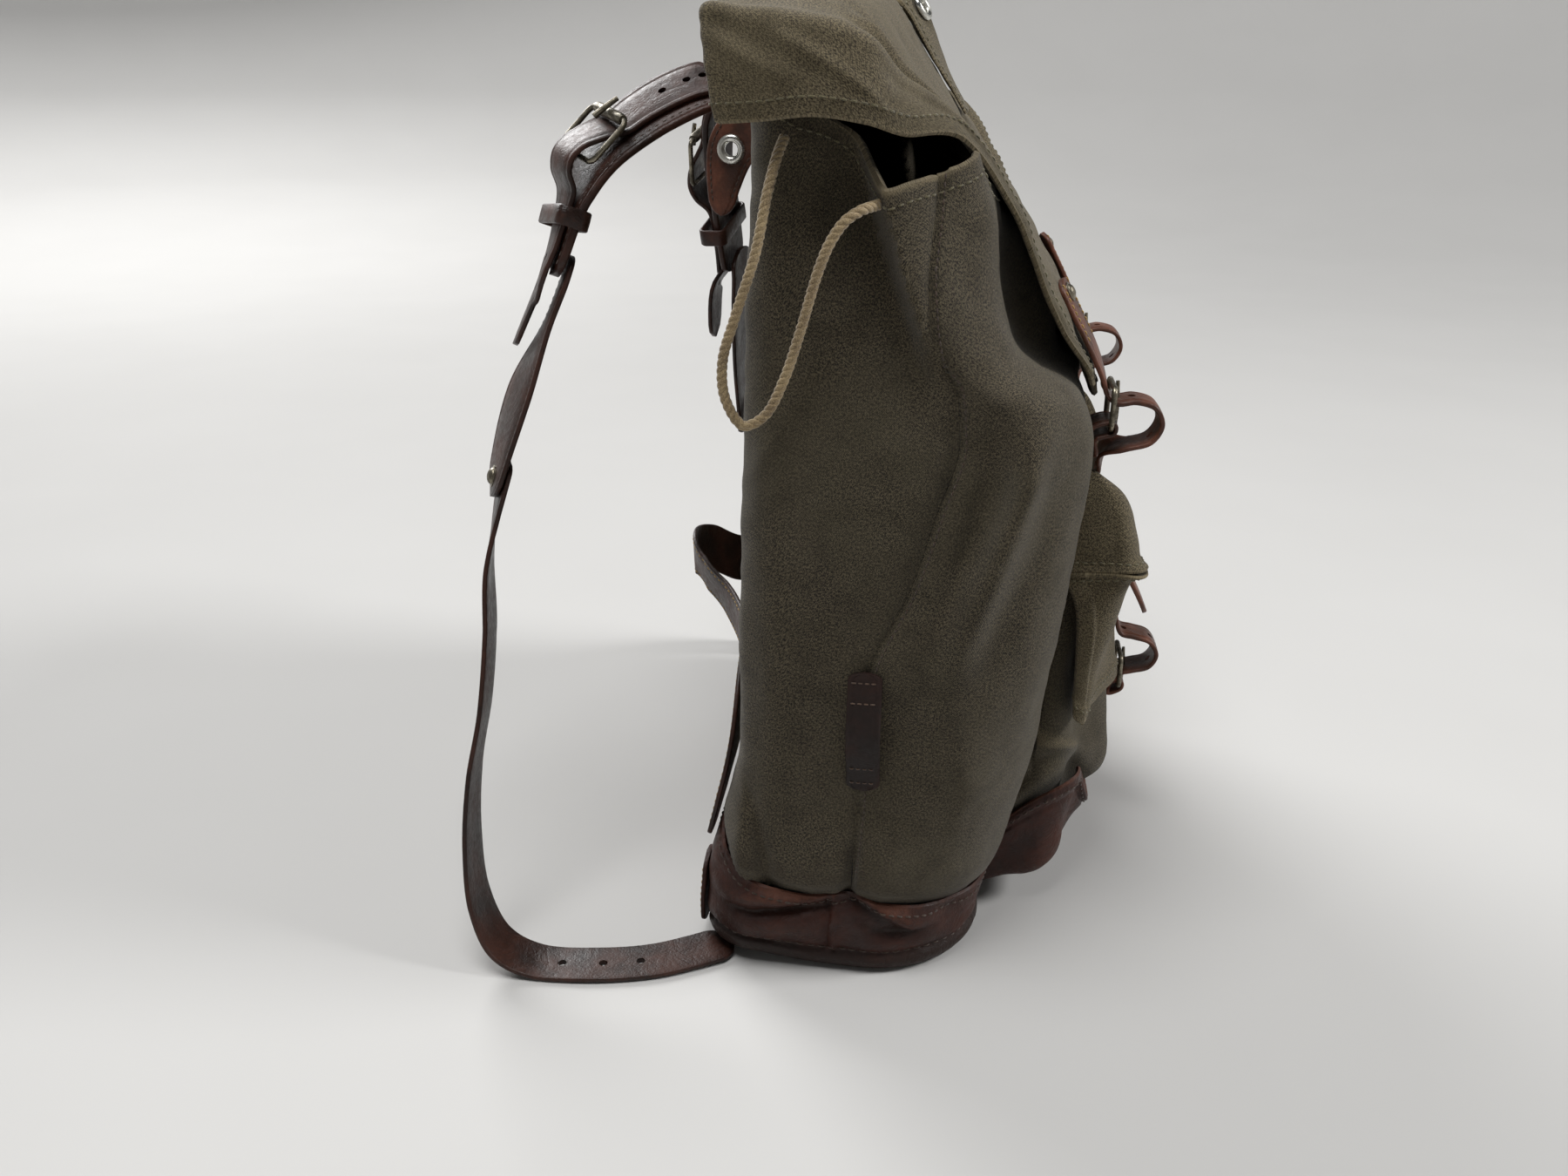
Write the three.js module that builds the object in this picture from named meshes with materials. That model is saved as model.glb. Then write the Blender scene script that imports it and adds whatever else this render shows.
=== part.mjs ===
// A canvas and leather rucksack that stands on its leather base.
// Millimetres. +Z is up, +X is towards the front pocket, -Y is the wearer's left side.
// The origin is the middle of the flat bottom, on the surface that the rucksack stands on.
import * as THREE from "three";

// Wall thicknesses and clearances
const GAP = 0.5;
const LAP_GAP = 1.1;
const CANVAS = 2;
const LEATHER = 2.4;
const STRAP = 2.6;
const PAD = 4;
const WIRE = 2.8;

// Sack: horizontal sections of the canvas, foot to mouth
const SACK = [
  { z: 24, back: -70.5, front: 71.5, half: 189, backRound: 24, frontRound: 57, seam: 5 },
  { z: 60, back: -67, front: 84, half: 191, backRound: 25, frontRound: 60, seam: 8 },
  { z: 104, back: -56.5, front: 97, half: 193, backRound: 26, frontRound: 60, seam: 11 },
  { z: 150, back: -54.5, front: 103.5, half: 194, backRound: 26, frontRound: 58, seam: 12 },
  { z: 185, back: -54, front: 107.5, half: 194.5, backRound: 26, frontRound: 57, seam: 17 },
  { z: 220, back: -53.5, front: 111, half: 193.5, backRound: 26, frontRound: 56, seam: 31 },
  { z: 262, back: -53, front: 114.5, half: 191, backRound: 26, frontRound: 54, seam: 44 },
  { z: 288, back: -52.5, front: 115, half: 188.5, backRound: 26, frontRound: 52, seam: 51 },
  { z: 301, back: -52.5, front: 111.5, half: 187, backRound: 26, frontRound: 49, seam: 51 },
  { z: 312, back: -52, front: 104, half: 185.5, backRound: 26, frontRound: 44, seam: 49 },
  { z: 321, back: -52, front: 86, half: 184, backRound: 26, frontRound: 35, seam: 43 },
  { z: 332, back: -51.5, front: 74.5, half: 182, backRound: 26, frontRound: 30, seam: 36 },
  { z: 362, back: -51, front: 66.5, half: 177, backRound: 25, frontRound: 30, seam: 24 },
  { z: 393, back: -50.5, front: 58.5, half: 172, backRound: 24, frontRound: 30, seam: 11.5 },
  { z: 420, back: -50, front: 46.5, half: 168, backRound: 24, frontRound: 30, seam: 4 },
  { z: 446, back: -50, front: 40, half: 165, backRound: 24, frontRound: 30, seam: -1 },
];
const SACK_LEVELS = [24, 60, 104, 150, 200, 250, 288, 304, 315, 323, 334, 362, 390];
const BACK_BULGE = 5;

// Gathered cloth below the lid: how far the middle of the front panel stands out, and how wide that is
const GATHER = [
  { z: 305, out: 0 },
  { z: 321, out: 14 },
  { z: 332, out: 23 },
  { z: 346, out: 23.5 },
  { z: 362, out: 18 },
  { z: 379, out: 11.5 },
  { z: 393, out: 5 },
  { z: 410, out: 0 },
];
const GATHER_WIDTH = { half: 122, fade: 44 };

// Mouth: height of the rim along each half, from the left seam to the right seam
const FRONT_RIM = [
  { at: 0, z: 405 },
  { at: 0.16, z: 411 },
  { at: 0.36, z: 419 },
  { at: 0.5, z: 412 },
  { at: 0.64, z: 419 },
  { at: 0.84, z: 412 },
  { at: 1, z: 408 },
];
const BACK_RIM = [
  { at: 0, z: 405 },
  { at: 0.06, z: 426 },
  { at: 0.16, z: 434 },
  { at: 0.5, z: 440 },
  { at: 0.84, z: 434 },
  { at: 0.94, z: 426 },
  { at: 1, z: 408 },
];

// Folds on the sides of the sack: lines down the side, with how far each stands out and how wide it is
const SIDE_FOLDS = [
  { name: "spout crest", line: [[6, 424], [13, 396], [24, 370], [37, 335]], rise: [15, 15, 11, 0], width: 13 },
  { name: "spout valley", line: [[-16, 440], [-8, 400], [2, 360], [16, 310]], rise: [-4, -6, -6, 0], width: 14 },
  { name: "seam groove", line: [[45, 322], [52, 290], [44, 264], [31, 217], [20, 190]], rise: [-1, -5, -5, -4, 0], width: 10 },
  { name: "shoulder bulge", line: [[84, 300], [78, 262]], rise: [4, 0], width: 20 },
  { name: "foot pucker", line: [[3, 60], [10, 110]], rise: [-5, 0], width: 12 },
];

// Leather base: rows of its wall from the foot up, the height of its upper edge round each half, and its sole
const BASE_ROWS = [
  { z: 0, inset: 5 },
  { z: 2.5, inset: 1.5 },
  { z: 10, inset: 0 },
  { z: 24, inset: -1.2 },
];
const FRONT_EDGE = [
  { at: 0, z: 51 },
  { at: 0.06, z: 47 },
  { at: 0.16, z: 45 },
  { at: 0.3, z: 40 },
  { at: 0.5, z: 42 },
  { at: 0.7, z: 40 },
  { at: 0.84, z: 45 },
  { at: 0.94, z: 47 },
  { at: 1, z: 51 },
];
const BACK_EDGE = [
  { at: 0, z: 51 },
  { at: 0.08, z: 47 },
  { at: 0.2, z: 55 },
  { at: 0.38, z: 78 },
  { at: 0.62, z: 78 },
  { at: 0.8, z: 55 },
  { at: 0.92, z: 47 },
  { at: 1, z: 51 },
];
const BASE_SOLE = { rim: 4.7, middle: 18 };
const CORNER_LIFT = { x: -60, y: -183, rise: 6, reach: 36 };

// Lid: ribs across it from the back seam to the front edge, with the middle, the fold and the hem of each,
// and how flat the rib runs between the middle and the fold
const LID = [
  { flat: 2.4, midX: -63, midZ: 450, foldX: -58, foldY: 174, foldZ: 449, hemX: -55, hemY: 187, hemZ: 433 },
  { flat: 2.4, midX: -70, midZ: 480, foldX: -64, foldY: 184, foldZ: 474, hemX: -57, hemY: 193, hemZ: 432 },
  { flat: 2.4, midX: -52, midZ: 496, foldX: -46, foldY: 187, foldZ: 474, hemX: -38, hemY: 195, hemZ: 433 },
  { flat: 2.4, midX: -22, midZ: 501, foldX: -20, foldY: 188, foldZ: 470, hemX: -16, hemY: 196, hemZ: 435 },
  { flat: 2.4, midX: 3, midZ: 488, foldX: 5, foldY: 184, foldZ: 463, hemX: 6, hemY: 193, hemZ: 432 },
  { flat: 2.4, midX: 25, midZ: 456, foldX: 19, foldY: 172, foldZ: 447, hemX: 22, hemY: 182, hemZ: 427 },
  { flat: 3, midX: 49.5, midZ: 419, foldX: 44, foldY: 150, foldZ: 429, hemX: 45, hemY: 156, hemZ: 424 },
  { flat: 4.5, midX: 80, midZ: 379, foldX: 66, foldY: 134, foldZ: 395, hemX: 67, hemY: 138, hemZ: 390 },
  { flat: 5, midX: 101, midZ: 346, foldX: 88, foldY: 126, foldZ: 347, hemX: 89, hemY: 130, hemZ: 342 },
  { flat: 5, midX: 117, midZ: 311, foldX: 108, foldY: 120, foldZ: 322, hemX: 109, hemY: 124, hemZ: 318 },
  { flat: 5, midX: 122, midZ: 292, foldX: 115, foldY: 114, foldZ: 312, hemX: 116, hemY: 118, hemZ: 309 },
];
const LID_FOLD_AT = 0.8;
const LID_STEPS = 16;

// Sleeve on the lid: an arched strip, open at its top end
const SLEEVE = { y: 60, half: 30, fromRib: 3.95, toRib: 5.75, clear: 1.2, topArch: 10, footArch: 2 };

// Pocket and its flap: rows of open outlines that end on the front panel, and dip in the middle of the front
const POCKET_FOOT = [
  { endZ: 12, frontZ: 13, dip: 0, corner: 90, middle: 92, half: 98, round: 6, reach: 70 },
  { endZ: 14, frontZ: 30, dip: 2, corner: 116, middle: 119, half: 116, round: 16, reach: 78 },
  { endZ: 38, frontZ: 56, dip: 14, corner: 123, middle: 130, half: 119, round: 18, reach: 78 },
  { endZ: 57, frontZ: 78, dip: 26, corner: 129, middle: 138, half: 120, round: 20, reach: 78 },
];
const POCKET_WALL = [
  { endZ: 46, frontZ: 62, dip: 22, corner: 118, middle: 122, half: 115, round: 20, reach: 60 },
  { endZ: 66, frontZ: 88, dip: 20, corner: 122.5, middle: 144, half: 116, round: 22, reach: 60 },
  { endZ: 100, frontZ: 112, dip: 4, corner: 122.5, middle: 147, half: 117, round: 20, reach: 48 },
  { endZ: 140, frontZ: 146, dip: 0, corner: 120.5, middle: 141.5, half: 114, round: 16, reach: 56 },
  { endZ: 185, frontZ: 186, dip: 0, corner: 124, middle: 131, half: 111, round: 12, reach: 76 },
  { endZ: 222, frontZ: 220, dip: 0, corner: 124, middle: 121.5, half: 108, round: 8, reach: 90 },
];
const FLAP_TOP = [
  { endZ: 262, frontZ: 262, corner: 123, middle: 119.5, half: 112, round: 3, reach: 101 },
  { endZ: 250, frontZ: 249, corner: 137, middle: 119.5, half: 116, round: 7, reach: 101 },
  { endZ: 232, frontZ: 231, corner: 145, middle: 123.5, half: 120, round: 10, reach: 101 },
  { endZ: 212, frontZ: 213, corner: 149, middle: 133, half: 123, round: 12, reach: 101 },
];
const FLAP_SKIRT = [
  { endZ: 210.5, frontZ: 211.5, corner: 149.4, middle: 133.6, half: 123.4, round: 12, reach: 101 },
  { endZ: 192, frontZ: 194, corner: 142.5, middle: 141, half: 124, round: 14, reach: 98 },
  { endZ: 166, frontZ: 158, corner: 134, middle: 147, half: 122, round: 18, reach: 44 },
  { endZ: 136, frontZ: 122, corner: 126.5, middle: 150.5, half: 120, round: 20, reach: 48 },
];
const PANEL_CLEAR = 1.4;
const BASE_CLEAR = 6;
const BASE_CLEAR_TOP = 57;

// Side tabs on the seam of each side
const SIDE_TAB = { x: 12, foot: 116, top: 182, width: 17, bow: 8 };

// Lid straps: seen from the side, from the rivet on the lid to the tip
const LID_STRAP = { y: 100, width: 22 };
const LID_STRAP_ROUTE = [
  { x: 95.6, z: 357, lean: 11 },
  { x: 102, z: 345, lean: 11 },
  { x: 109.4, z: 332, lean: 10 },
  { x: 116.2, z: 319.5, lean: 8 },
  { x: 121.4, z: 308, lean: 4 },
  { x: 123.4, z: 302, lean: 0 },
  { x: 129, z: 297.5 },
  { x: 138, z: 298.5 },
  { x: 148, z: 295.5 },
  { x: 152, z: 287 },
  { x: 147.5, z: 278 },
  { x: 136, z: 274 },
  { x: 127, z: 270, in: 6 },
  { x: 124.6, z: 262, in: 12 },
  { x: 124.6, z: 250, in: 17 },
  { x: 127.5, z: 233, in: 19 },
  { x: 137.5, z: 214, in: 21 },
  { x: 147.5, z: 195, in: 23 },
  { x: 155, z: 181, in: 24 },
  { x: 159, z: 172, in: 24 },
].map((row) => ({ lean: 0, in: 0, ...row }));
const LID_STRAP_STEPS = 38;
const LID_BUCKLE = { x: 126.4, z: 295, width: 32, height: 24 };
const LID_CHAPE = { top: 296, foot: 266, width: 24 };

// Pocket strap, on the middle of the flap
const POCKET_STRAP = { width: 22, steps: 24 };
const POCKET_STRAP_ROUTE = [
  { x: 145.6, z: 188 },
  { x: 150.2, z: 162 },
  { x: 153.2, z: 140 },
  { x: 157, z: 129 },
  { x: 165, z: 127 },
  { x: 175, z: 124 },
  { x: 180, z: 115.5 },
  { x: 176, z: 107 },
  { x: 166, z: 103.5 },
  { x: 158.5, z: 101 },
  { x: 153.4, z: 93.5 },
  { x: 151.8, z: 82 },
];
const POCKET_BUCKLE = { x: 158.2, z: 104, width: 32, height: 23 };
const POCKET_CHAPE = { top: 118, foot: 93, width: 24 };
const BUCKLE_BAR = 3.2;

// Carrying straps: the left one stands away from the back, the right one hangs close to it
const LEFT_PAD = [
  { x: -83, y: -55, z: 447, width: 40, lean: 30 },
  { x: -96, y: -60, z: 444, width: 44, lean: 36 },
  { x: -118, y: -69, z: 433, width: 46, lean: 38 },
  { x: -139, y: -80, z: 415, width: 46, lean: 36 },
  { x: -152, y: -88, z: 393, width: 45, lean: 30 },
  { x: -160, y: -95, z: 366, width: 42, lean: 22 },
  { x: -164, y: -98, z: 353, width: 38, lean: 18 },
];
const LEFT_TAIL = [
  { x: -175, y: -92, z: 345, width: 27 },
  { x: -192, y: -86, z: 314, width: 22 },
];
const LEFT_LOWER = [
  { x: -155, y: -93.2, z: 363, width: 34, lean: 20 },
  { x: -158.8, y: -96, z: 351, width: 36, lean: 18 },
  { x: -169, y: -102, z: 326, width: 37, lean: 18 },
  { x: -184, y: -110, z: 292, width: 38, lean: 32 },
  { x: -196, y: -119, z: 252, width: 36, lean: 28 },
  { x: -198.5, y: -122, z: 238, width: 30, lean: 24 },
];
const LEFT_END = [
  { x: -189.5, y: -118, z: 258, width: 27, lean: 28 },
  { x: -196, y: -124, z: 230, width: 27, lean: 22 },
  { x: -199, y: -134, z: 203, width: 27, lean: 14 },
  { x: -196, y: -150, z: 170, width: 27, lean: 10 },
  { x: -196, y: -166, z: 135, width: 27, lean: 8 },
  { x: -200, y: -180, z: 100, width: 27, lean: 6 },
  { x: -200, y: -192, z: 65, width: 27, lean: 4 },
  { x: -195, y: -202, z: 33, width: 27, lean: 2 },
  { x: -183, y: -208, z: 11, width: 27, lean: 0 },
  { x: -164, y: -210, z: 2.2, width: 27, lean: 0 },
  { x: -130, y: -208, z: 1.5, width: 27, lean: 0 },
  { x: -100, y: -200.5, z: 1.5, width: 27, lean: 0 },
  { x: -78, y: -189, z: 1.5, width: 27, lean: 0 },
  { x: -60, y: -177, z: 1.5, width: 27, lean: 0 },
];
const RIGHT_PAD = [
  { x: -83, y: 54, z: 445, width: 40, lean: -14 },
  { x: -94, y: 56, z: 440, width: 44, lean: -12 },
  { x: -104, y: 60, z: 426, width: 46, lean: -10 },
  { x: -107, y: 66, z: 403, width: 46, lean: -8 },
  { x: -105, y: 74, z: 375, width: 45, lean: -8 },
  { x: -103, y: 82, z: 347, width: 42, lean: -8 },
  { x: -102, y: 86, z: 334, width: 38, lean: -8 },
];
const RIGHT_TAIL = [
  { x: -112, y: 82, z: 322, width: 27 },
  { x: -115, y: 86, z: 288, width: 22 },
];
const RIGHT_LOWER = [
  { x: -97, y: 82, z: 345, width: 34, lean: -8 },
  { x: -96.4, y: 86, z: 331, width: 36, lean: -8 },
  { x: -98, y: 94, z: 305, width: 37, lean: -8 },
  { x: -100, y: 106, z: 268, width: 38, lean: -6 },
  { x: -101, y: 120, z: 229, width: 36, lean: -4 },
  { x: -102, y: 125, z: 216, width: 30, lean: -4 },
];
const RIGHT_END = [
  { x: -95, y: 118, z: 235, width: 27, lean: -6 },
  { x: -96.5, y: 128, z: 209, width: 27, lean: -8 },
  { x: -98, y: 146, z: 178, width: 27, lean: -10 },
  { x: -100, y: 170, z: 142, width: 27, lean: -10 },
  { x: -104, y: 192, z: 104, width: 27, lean: -8 },
  { x: -110, y: 206, z: 66, width: 27, lean: -6 },
  { x: -114, y: 212, z: 34, width: 27, lean: -4 },
  { x: -112, y: 214, z: 13, width: 27, lean: -2 },
  { x: -102, y: 213, z: 3, width: 27, lean: 0 },
  { x: -90, y: 210, z: 1.6, width: 27, lean: 0 },
  { x: -72, y: 205, z: 1.5, width: 27, lean: 0 },
];
const SHOULDER = { strap: 29, fromPad: 0.9, buckleAt: 0.49, keeperAt: 0.74, buckleWidth: 44, buckleHeight: 30 };
const STRAP_ANCHOR = { half: 74, foot: 396, top: 443, thick: 3.4 };
const ANCHOR_RING = { y: 54, width: 44, height: 20, x: -66, z: 446.5 };
const HANG_TAB = [
  { x: -74.9, y: 22, z: 434, width: 30, lean: 0 },
  { x: -80, y: 23, z: 423, width: 31, lean: 0 },
  { x: -90, y: 24, z: 410, width: 29, lean: 0 },
  { x: -95, y: 24, z: 391, width: 21, lean: 0 },
  { x: -97, y: 24, z: 372, width: 13, lean: 0 },
];
const TAB_EYELET_AT = 0.5;

// Strap across the small of the back, from one corner of the base to the other
const HIP_STRAP = [
  { x: -73.6, y: -163, z: 64, width: 22 },
  { x: -67.5, y: -160, z: 88, width: 23 },
  { x: -61.5, y: -152, z: 116, width: 24 },
  { x: -61, y: -133, z: 138, width: 26 },
  { x: -64, y: -104, z: 147, width: 28 },
  { x: -71, y: -76, z: 150, width: 30 },
  { x: -83, y: -53, z: 156, width: 30 },
  { x: -99, y: -35, z: 165, width: 30 },
  { x: -109, y: -18, z: 172, width: 30 },
  { x: -104, y: 8, z: 166, width: 30 },
  { x: -91, y: 32, z: 151, width: 30 },
  { x: -77, y: 64, z: 141, width: 30 },
  { x: -67, y: 100, z: 137, width: 28 },
  { x: -62, y: 132, z: 130, width: 26 },
  { x: -62, y: 152, z: 110, width: 24 },
  { x: -67.5, y: 160, z: 87, width: 23 },
  { x: -73.6, y: 163, z: 64, width: 22 },
];
const BASE_TAB = { y: 162, foot: 8, top: 50, width: 24 };

// Drawstring: the free loop at the left of the mouth
const CORD_DIAMETER = 5;
const CORD_SIDES = 8;
const CORD_STEPS = 28;
const CORD_ROUTE = [
  [-31, -174, 425],
  [-33, -184, 417],
  [-36, -191, 403],
  [-41, -194, 378],
  [-50, -195, 351],
  [-56, -195, 331],
  [-55, -195, 314],
  [-47, -195, 302],
  [-37, -195.5, 307],
  [-28, -195.5, 324],
  [-21, -195.5, 345],
  [-13, -196, 372],
  [-8, -196, 386],
  [-1, -194.5, 396],
  [5, -191, 400],
];

// Finishes: colour, roughness and metalness of each kind of piece
const FINISH = {
  canvas: { color: 0x5d5742, roughness: 0.95, metalness: 0 },
  baseLeather: { color: 0x5a3022, roughness: 0.62, metalness: 0 },
  strapLeather: { color: 0x3a1f16, roughness: 0.42, metalness: 0 },
  tanLeather: { color: 0x6d3f2a, roughness: 0.5, metalness: 0 },
  agedMetal: { color: 0x8a8474, roughness: 0.42, metalness: 0.9 },
  brightMetal: { color: 0xcfd0cc, roughness: 0.25, metalness: 0.95 },
  cotton: { color: 0xb59f80, roughness: 0.95, metalness: 0 },
};

const X_AXIS = new THREE.Vector3(1, 0, 0);
const Y_AXIS = new THREE.Vector3(0, 1, 0);
const Z_AXIS = new THREE.Vector3(0, 0, 1);
const LEFT = -1;
const RIGHT = 1;
const SIDES = [
  { word: "left", sign: LEFT },
  { word: "right", sign: RIGHT },
];

const rucksack = new THREE.Group();

function addPiece(name, geometry, finish) {
  const mesh = new THREE.Mesh(geometry, new THREE.MeshStandardMaterial(finish));
  mesh.name = name;
  rucksack.add(mesh);
  return mesh;
}

const mix = (a, b, share) => a + (b - a) * share;
const clamp = (value, low, high) => Math.min(high, Math.max(low, value));
const smooth = (share) => {
  const s = clamp(share, 0, 1);
  return s * s * (3 - 2 * s);
};

// A column of a table as a smooth function of another column
function follow(rows, by, column, at) {
  const last = rows.length - 1;
  const place = clamp(at, rows[0][by], rows[last][by]);
  let i = 0;
  while (i < last - 1 && place > rows[i + 1][by]) {
    i += 1;
  }
  const slope = (a, b) => (rows[b][column] - rows[a][column]) / (rows[b][by] - rows[a][by]);
  const slopeAt = (k) => slope(Math.max(0, k - 1), Math.min(last, k + 1));
  const span = rows[i + 1][by] - rows[i][by];
  const s = (place - rows[i][by]) / span;
  const h = s * s * (3 - 2 * s);
  const start = s * (1 - s) * (1 - s) * span * slopeAt(i);
  const end = s * s * (s - 1) * span * slopeAt(i + 1);
  return mix(rows[i][column], rows[i + 1][column], h) + start + end;
}

// All columns of a table at a fractional row number
function rowAt(rows, number) {
  const numbered = rows.map((row, index) => ({ ...row, index }));
  const columns = Object.keys(rows[0]);
  return Object.fromEntries(columns.map((c) => [c, follow(numbered, "index", c, number)]));
}

const steps = (count) => Array.from({ length: count + 1 }, (_, i) => i / count);

// A closed mesh from points and triangles, with its faces turned outwards
function closedMesh(points, faces) {
  const volume = faces.reduce((sum, [a, b, c]) => {
    const cross = new THREE.Vector3().crossVectors(points[b], points[c]);
    return sum + points[a].dot(cross);
  }, 0);
  const turned = volume < 0 ? faces.map(([a, b, c]) => [a, c, b]) : faces;
  const geometry = new THREE.BufferGeometry().setFromPoints(points);
  geometry.setIndex(turned.flat());
  geometry.computeVertexNormals();
  return geometry;
}

// A wall between an outer and an inner grid of points: an open sheet, a ring, or a cup with a floor
function wall(outer, inner, { ring = false, floor = false } = {}) {
  const rows = outer.length;
  const columns = outer[0].length;
  const points = [...outer.flat(), ...inner.flat()];
  const faces = [];
  const at = (skin, i, j) => (skin * rows + i) * columns + (j % columns);
  const quad = (a, b, c, d) => faces.push([a, b, c], [a, c, d]);
  const spans = ring ? columns : columns - 1;
  for (let i = 0; i < rows - 1; i += 1) {
    for (let j = 0; j < spans; j += 1) {
      quad(at(0, i, j), at(0, i, j + 1), at(0, i + 1, j + 1), at(0, i + 1, j));
      quad(at(1, i, j), at(1, i + 1, j), at(1, i + 1, j + 1), at(1, i, j + 1));
    }
  }
  const top = rows - 1;
  for (let j = 0; j < spans; j += 1) {
    quad(at(0, top, j), at(0, top, j + 1), at(1, top, j + 1), at(1, top, j));
    if (!floor) {
      quad(at(0, 0, j), at(1, 0, j), at(1, 0, j + 1), at(0, 0, j + 1));
    }
  }
  if (floor) {
    const centre = (row) => row.reduce((sum, p) => sum.add(p), new THREE.Vector3()).divideScalar(columns);
    const outerCentre = points.push(centre(outer[0])) - 1;
    const innerCentre = points.push(centre(inner[0])) - 1;
    for (let j = 0; j < columns; j += 1) {
      faces.push([outerCentre, at(0, 0, j + 1), at(0, 0, j)]);
      faces.push([innerCentre, at(1, 0, j), at(1, 0, j + 1)]);
    }
  }
  if (!ring) {
    for (let i = 0; i < top; i += 1) {
      quad(at(0, i, 0), at(0, i + 1, 0), at(1, i + 1, 0), at(1, i, 0));
      quad(at(0, i, columns - 1), at(1, i, columns - 1), at(1, i + 1, columns - 1), at(0, i + 1, columns - 1));
    }
  }
  return closedMesh(points, faces);
}

// The grid moved inwards along its own normals; inside gives a point on the inner side of each point
function inwards(grid, thickness, inside) {
  const pick = (i, j) => grid[clamp(i, 0, grid.length - 1)][clamp(j, 0, grid[0].length - 1)];
  const normals = grid.map((row, i) =>
    row.map((_, j) => {
      const across = pick(i, j + 1).clone().sub(pick(i, j - 1));
      const along = pick(i + 1, j).clone().sub(pick(i - 1, j));
      return across.cross(along).normalize();
    }),
  );
  const leaning = (point, i, j) => normals[i][j].dot(inside(point).sub(point));
  const sum = grid.reduce((total, row, i) => row.reduce((part, p, j) => part + leaning(p, i, j), total), 0);
  const move = Math.sign(sum) * thickness;
  return grid.map((row, i) => row.map((point, j) => point.clone().addScaledVector(normals[i][j], move)));
}

// Outline of the sack
const OUTLINE_PARTS = [
  { part: "left side", to: 0.16, spans: 3 },
  { part: "left corner", to: 0.38, spans: 5 },
  { part: "face", to: 0.62, spans: 6 },
  { part: "right corner", to: 0.84, spans: 5 },
  { part: "right side", to: 1, spans: 3 },
];

// The shares at which an outline half is sampled, with whole spans on each side, corner and face
function outlineShares() {
  const shares = [0];
  let from = 0;
  for (const { to, spans } of OUTLINE_PARTS) {
    for (let k = 1; k <= spans; k += 1) {
      shares.push(mix(from, to, k / spans));
    }
    from = to;
  }
  return shares;
}

// How far the folds push the side of the sack out at x, z
function sideFold(x, z) {
  return SIDE_FOLDS.reduce((sum, { line, rise, width }) => {
    let best = { distance: Infinity, rise: 0 };
    for (let k = 0; k + 1 < line.length; k += 1) {
      const [ax, az] = line[k];
      const [bx, bz] = line[k + 1];
      const long = (bx - ax) ** 2 + (bz - az) ** 2;
      const s = clamp(((x - ax) * (bx - ax) + (z - az) * (bz - az)) / long, 0, 1);
      const distance = Math.hypot(x - mix(ax, bx, s), z - mix(az, bz, s));
      if (distance < best.distance) {
        best = { distance, rise: mix(rise[k], rise[k + 1], s) };
      }
    }
    return sum + best.rise * Math.exp(-((best.distance / width) ** 2));
  }, 0);
}

// A point of the sack's outline: half is +1 on the front half and -1 on the back half
function sackPoint(z, half, share, grow = 0) {
  const read = (column) => follow(SACK, "z", column, z);
  const face = read(half > 0 ? "front" : "back") + half * grow;
  const round = read(half > 0 ? "frontRound" : "backRound") + grow;
  const width = read("half") + grow;
  const cornerX = face - half * round;
  const seam = read("seam");
  const side = share < 0.5 ? LEFT : RIGHT;
  const s = share < 0.5 ? share : 1 - share;
  const [sideEnd, cornerEnd] = [OUTLINE_PARTS[0].to, OUTLINE_PARTS[1].to];
  let x = face;
  let y = width - round;
  let sideways = 0;
  if (s < sideEnd) {
    x = mix(seam, cornerX, s / sideEnd);
    y = width;
    sideways = 1;
  } else if (s < cornerEnd) {
    const angle = (Math.PI / 2) * ((s - sideEnd) / (cornerEnd - sideEnd));
    x = cornerX + half * round * Math.sin(angle);
    y = width - round + round * Math.cos(angle);
    sideways = Math.cos(angle);
  } else {
    y = (width - round) * (1 - (s - cornerEnd) / (0.5 - cornerEnd));
  }
  const gather = follow(GATHER, "z", "out", z) * smooth((GATHER_WIDTH.half - y) / GATHER_WIDTH.fade);
  const bulge = half < 0 ? -BACK_BULGE * smooth(1 - y / width) * smooth((z - 90) / 80) : gather;
  return new THREE.Vector3(x + bulge, side * (y + sideways * sideFold(x, z)), z);
}

const panelX = (z, y) => {
  const width = follow(SACK, "z", "half", z);
  const round = follow(SACK, "z", "frontRound", z);
  const past = Math.max(0, Math.abs(y) - (width - round));
  return follow(SACK, "z", "front", z) - round + Math.sqrt(round * round - past * past);
};
const backX = (z, y) => {
  const width = follow(SACK, "z", "half", z);
  const bulge = BACK_BULGE * smooth(1 - Math.abs(y) / width) * smooth((z - 90) / 80);
  return follow(SACK, "z", "back", z) - bulge;
};

// Canvas halves of the sack
function sackHalf(half, rim) {
  const grid = [...SACK_LEVELS, "rim"].map((level) =>
    outlineShares().map((share) => {
      const z = level === "rim" ? follow(rim, "at", "z", share) : level;
      const point = sackPoint(z, half, share);
      const atSeam = share === 0 || share === 1;
      point.x += atSeam ? (half * GAP) / 2 : 0;
      return point;
    }),
  );
  const inner = inwards(grid, CANVAS, (p) => new THREE.Vector3(half * 12, p.y * 0.3, p.z));
  inner.forEach((row, i) => {
    [0, row.length - 1].forEach((end) => {
      const edge = grid[i][end];
      row[end].set(edge.x, edge.y - Math.sign(edge.y) * CANVAS, edge.z);
    });
  });
  return wall(grid, inner);
}

addPiece("front_canvas", sackHalf(1, FRONT_RIM), FINISH.canvas);
addPiece("back_canvas", sackHalf(-1, BACK_RIM), FINISH.canvas);

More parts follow.
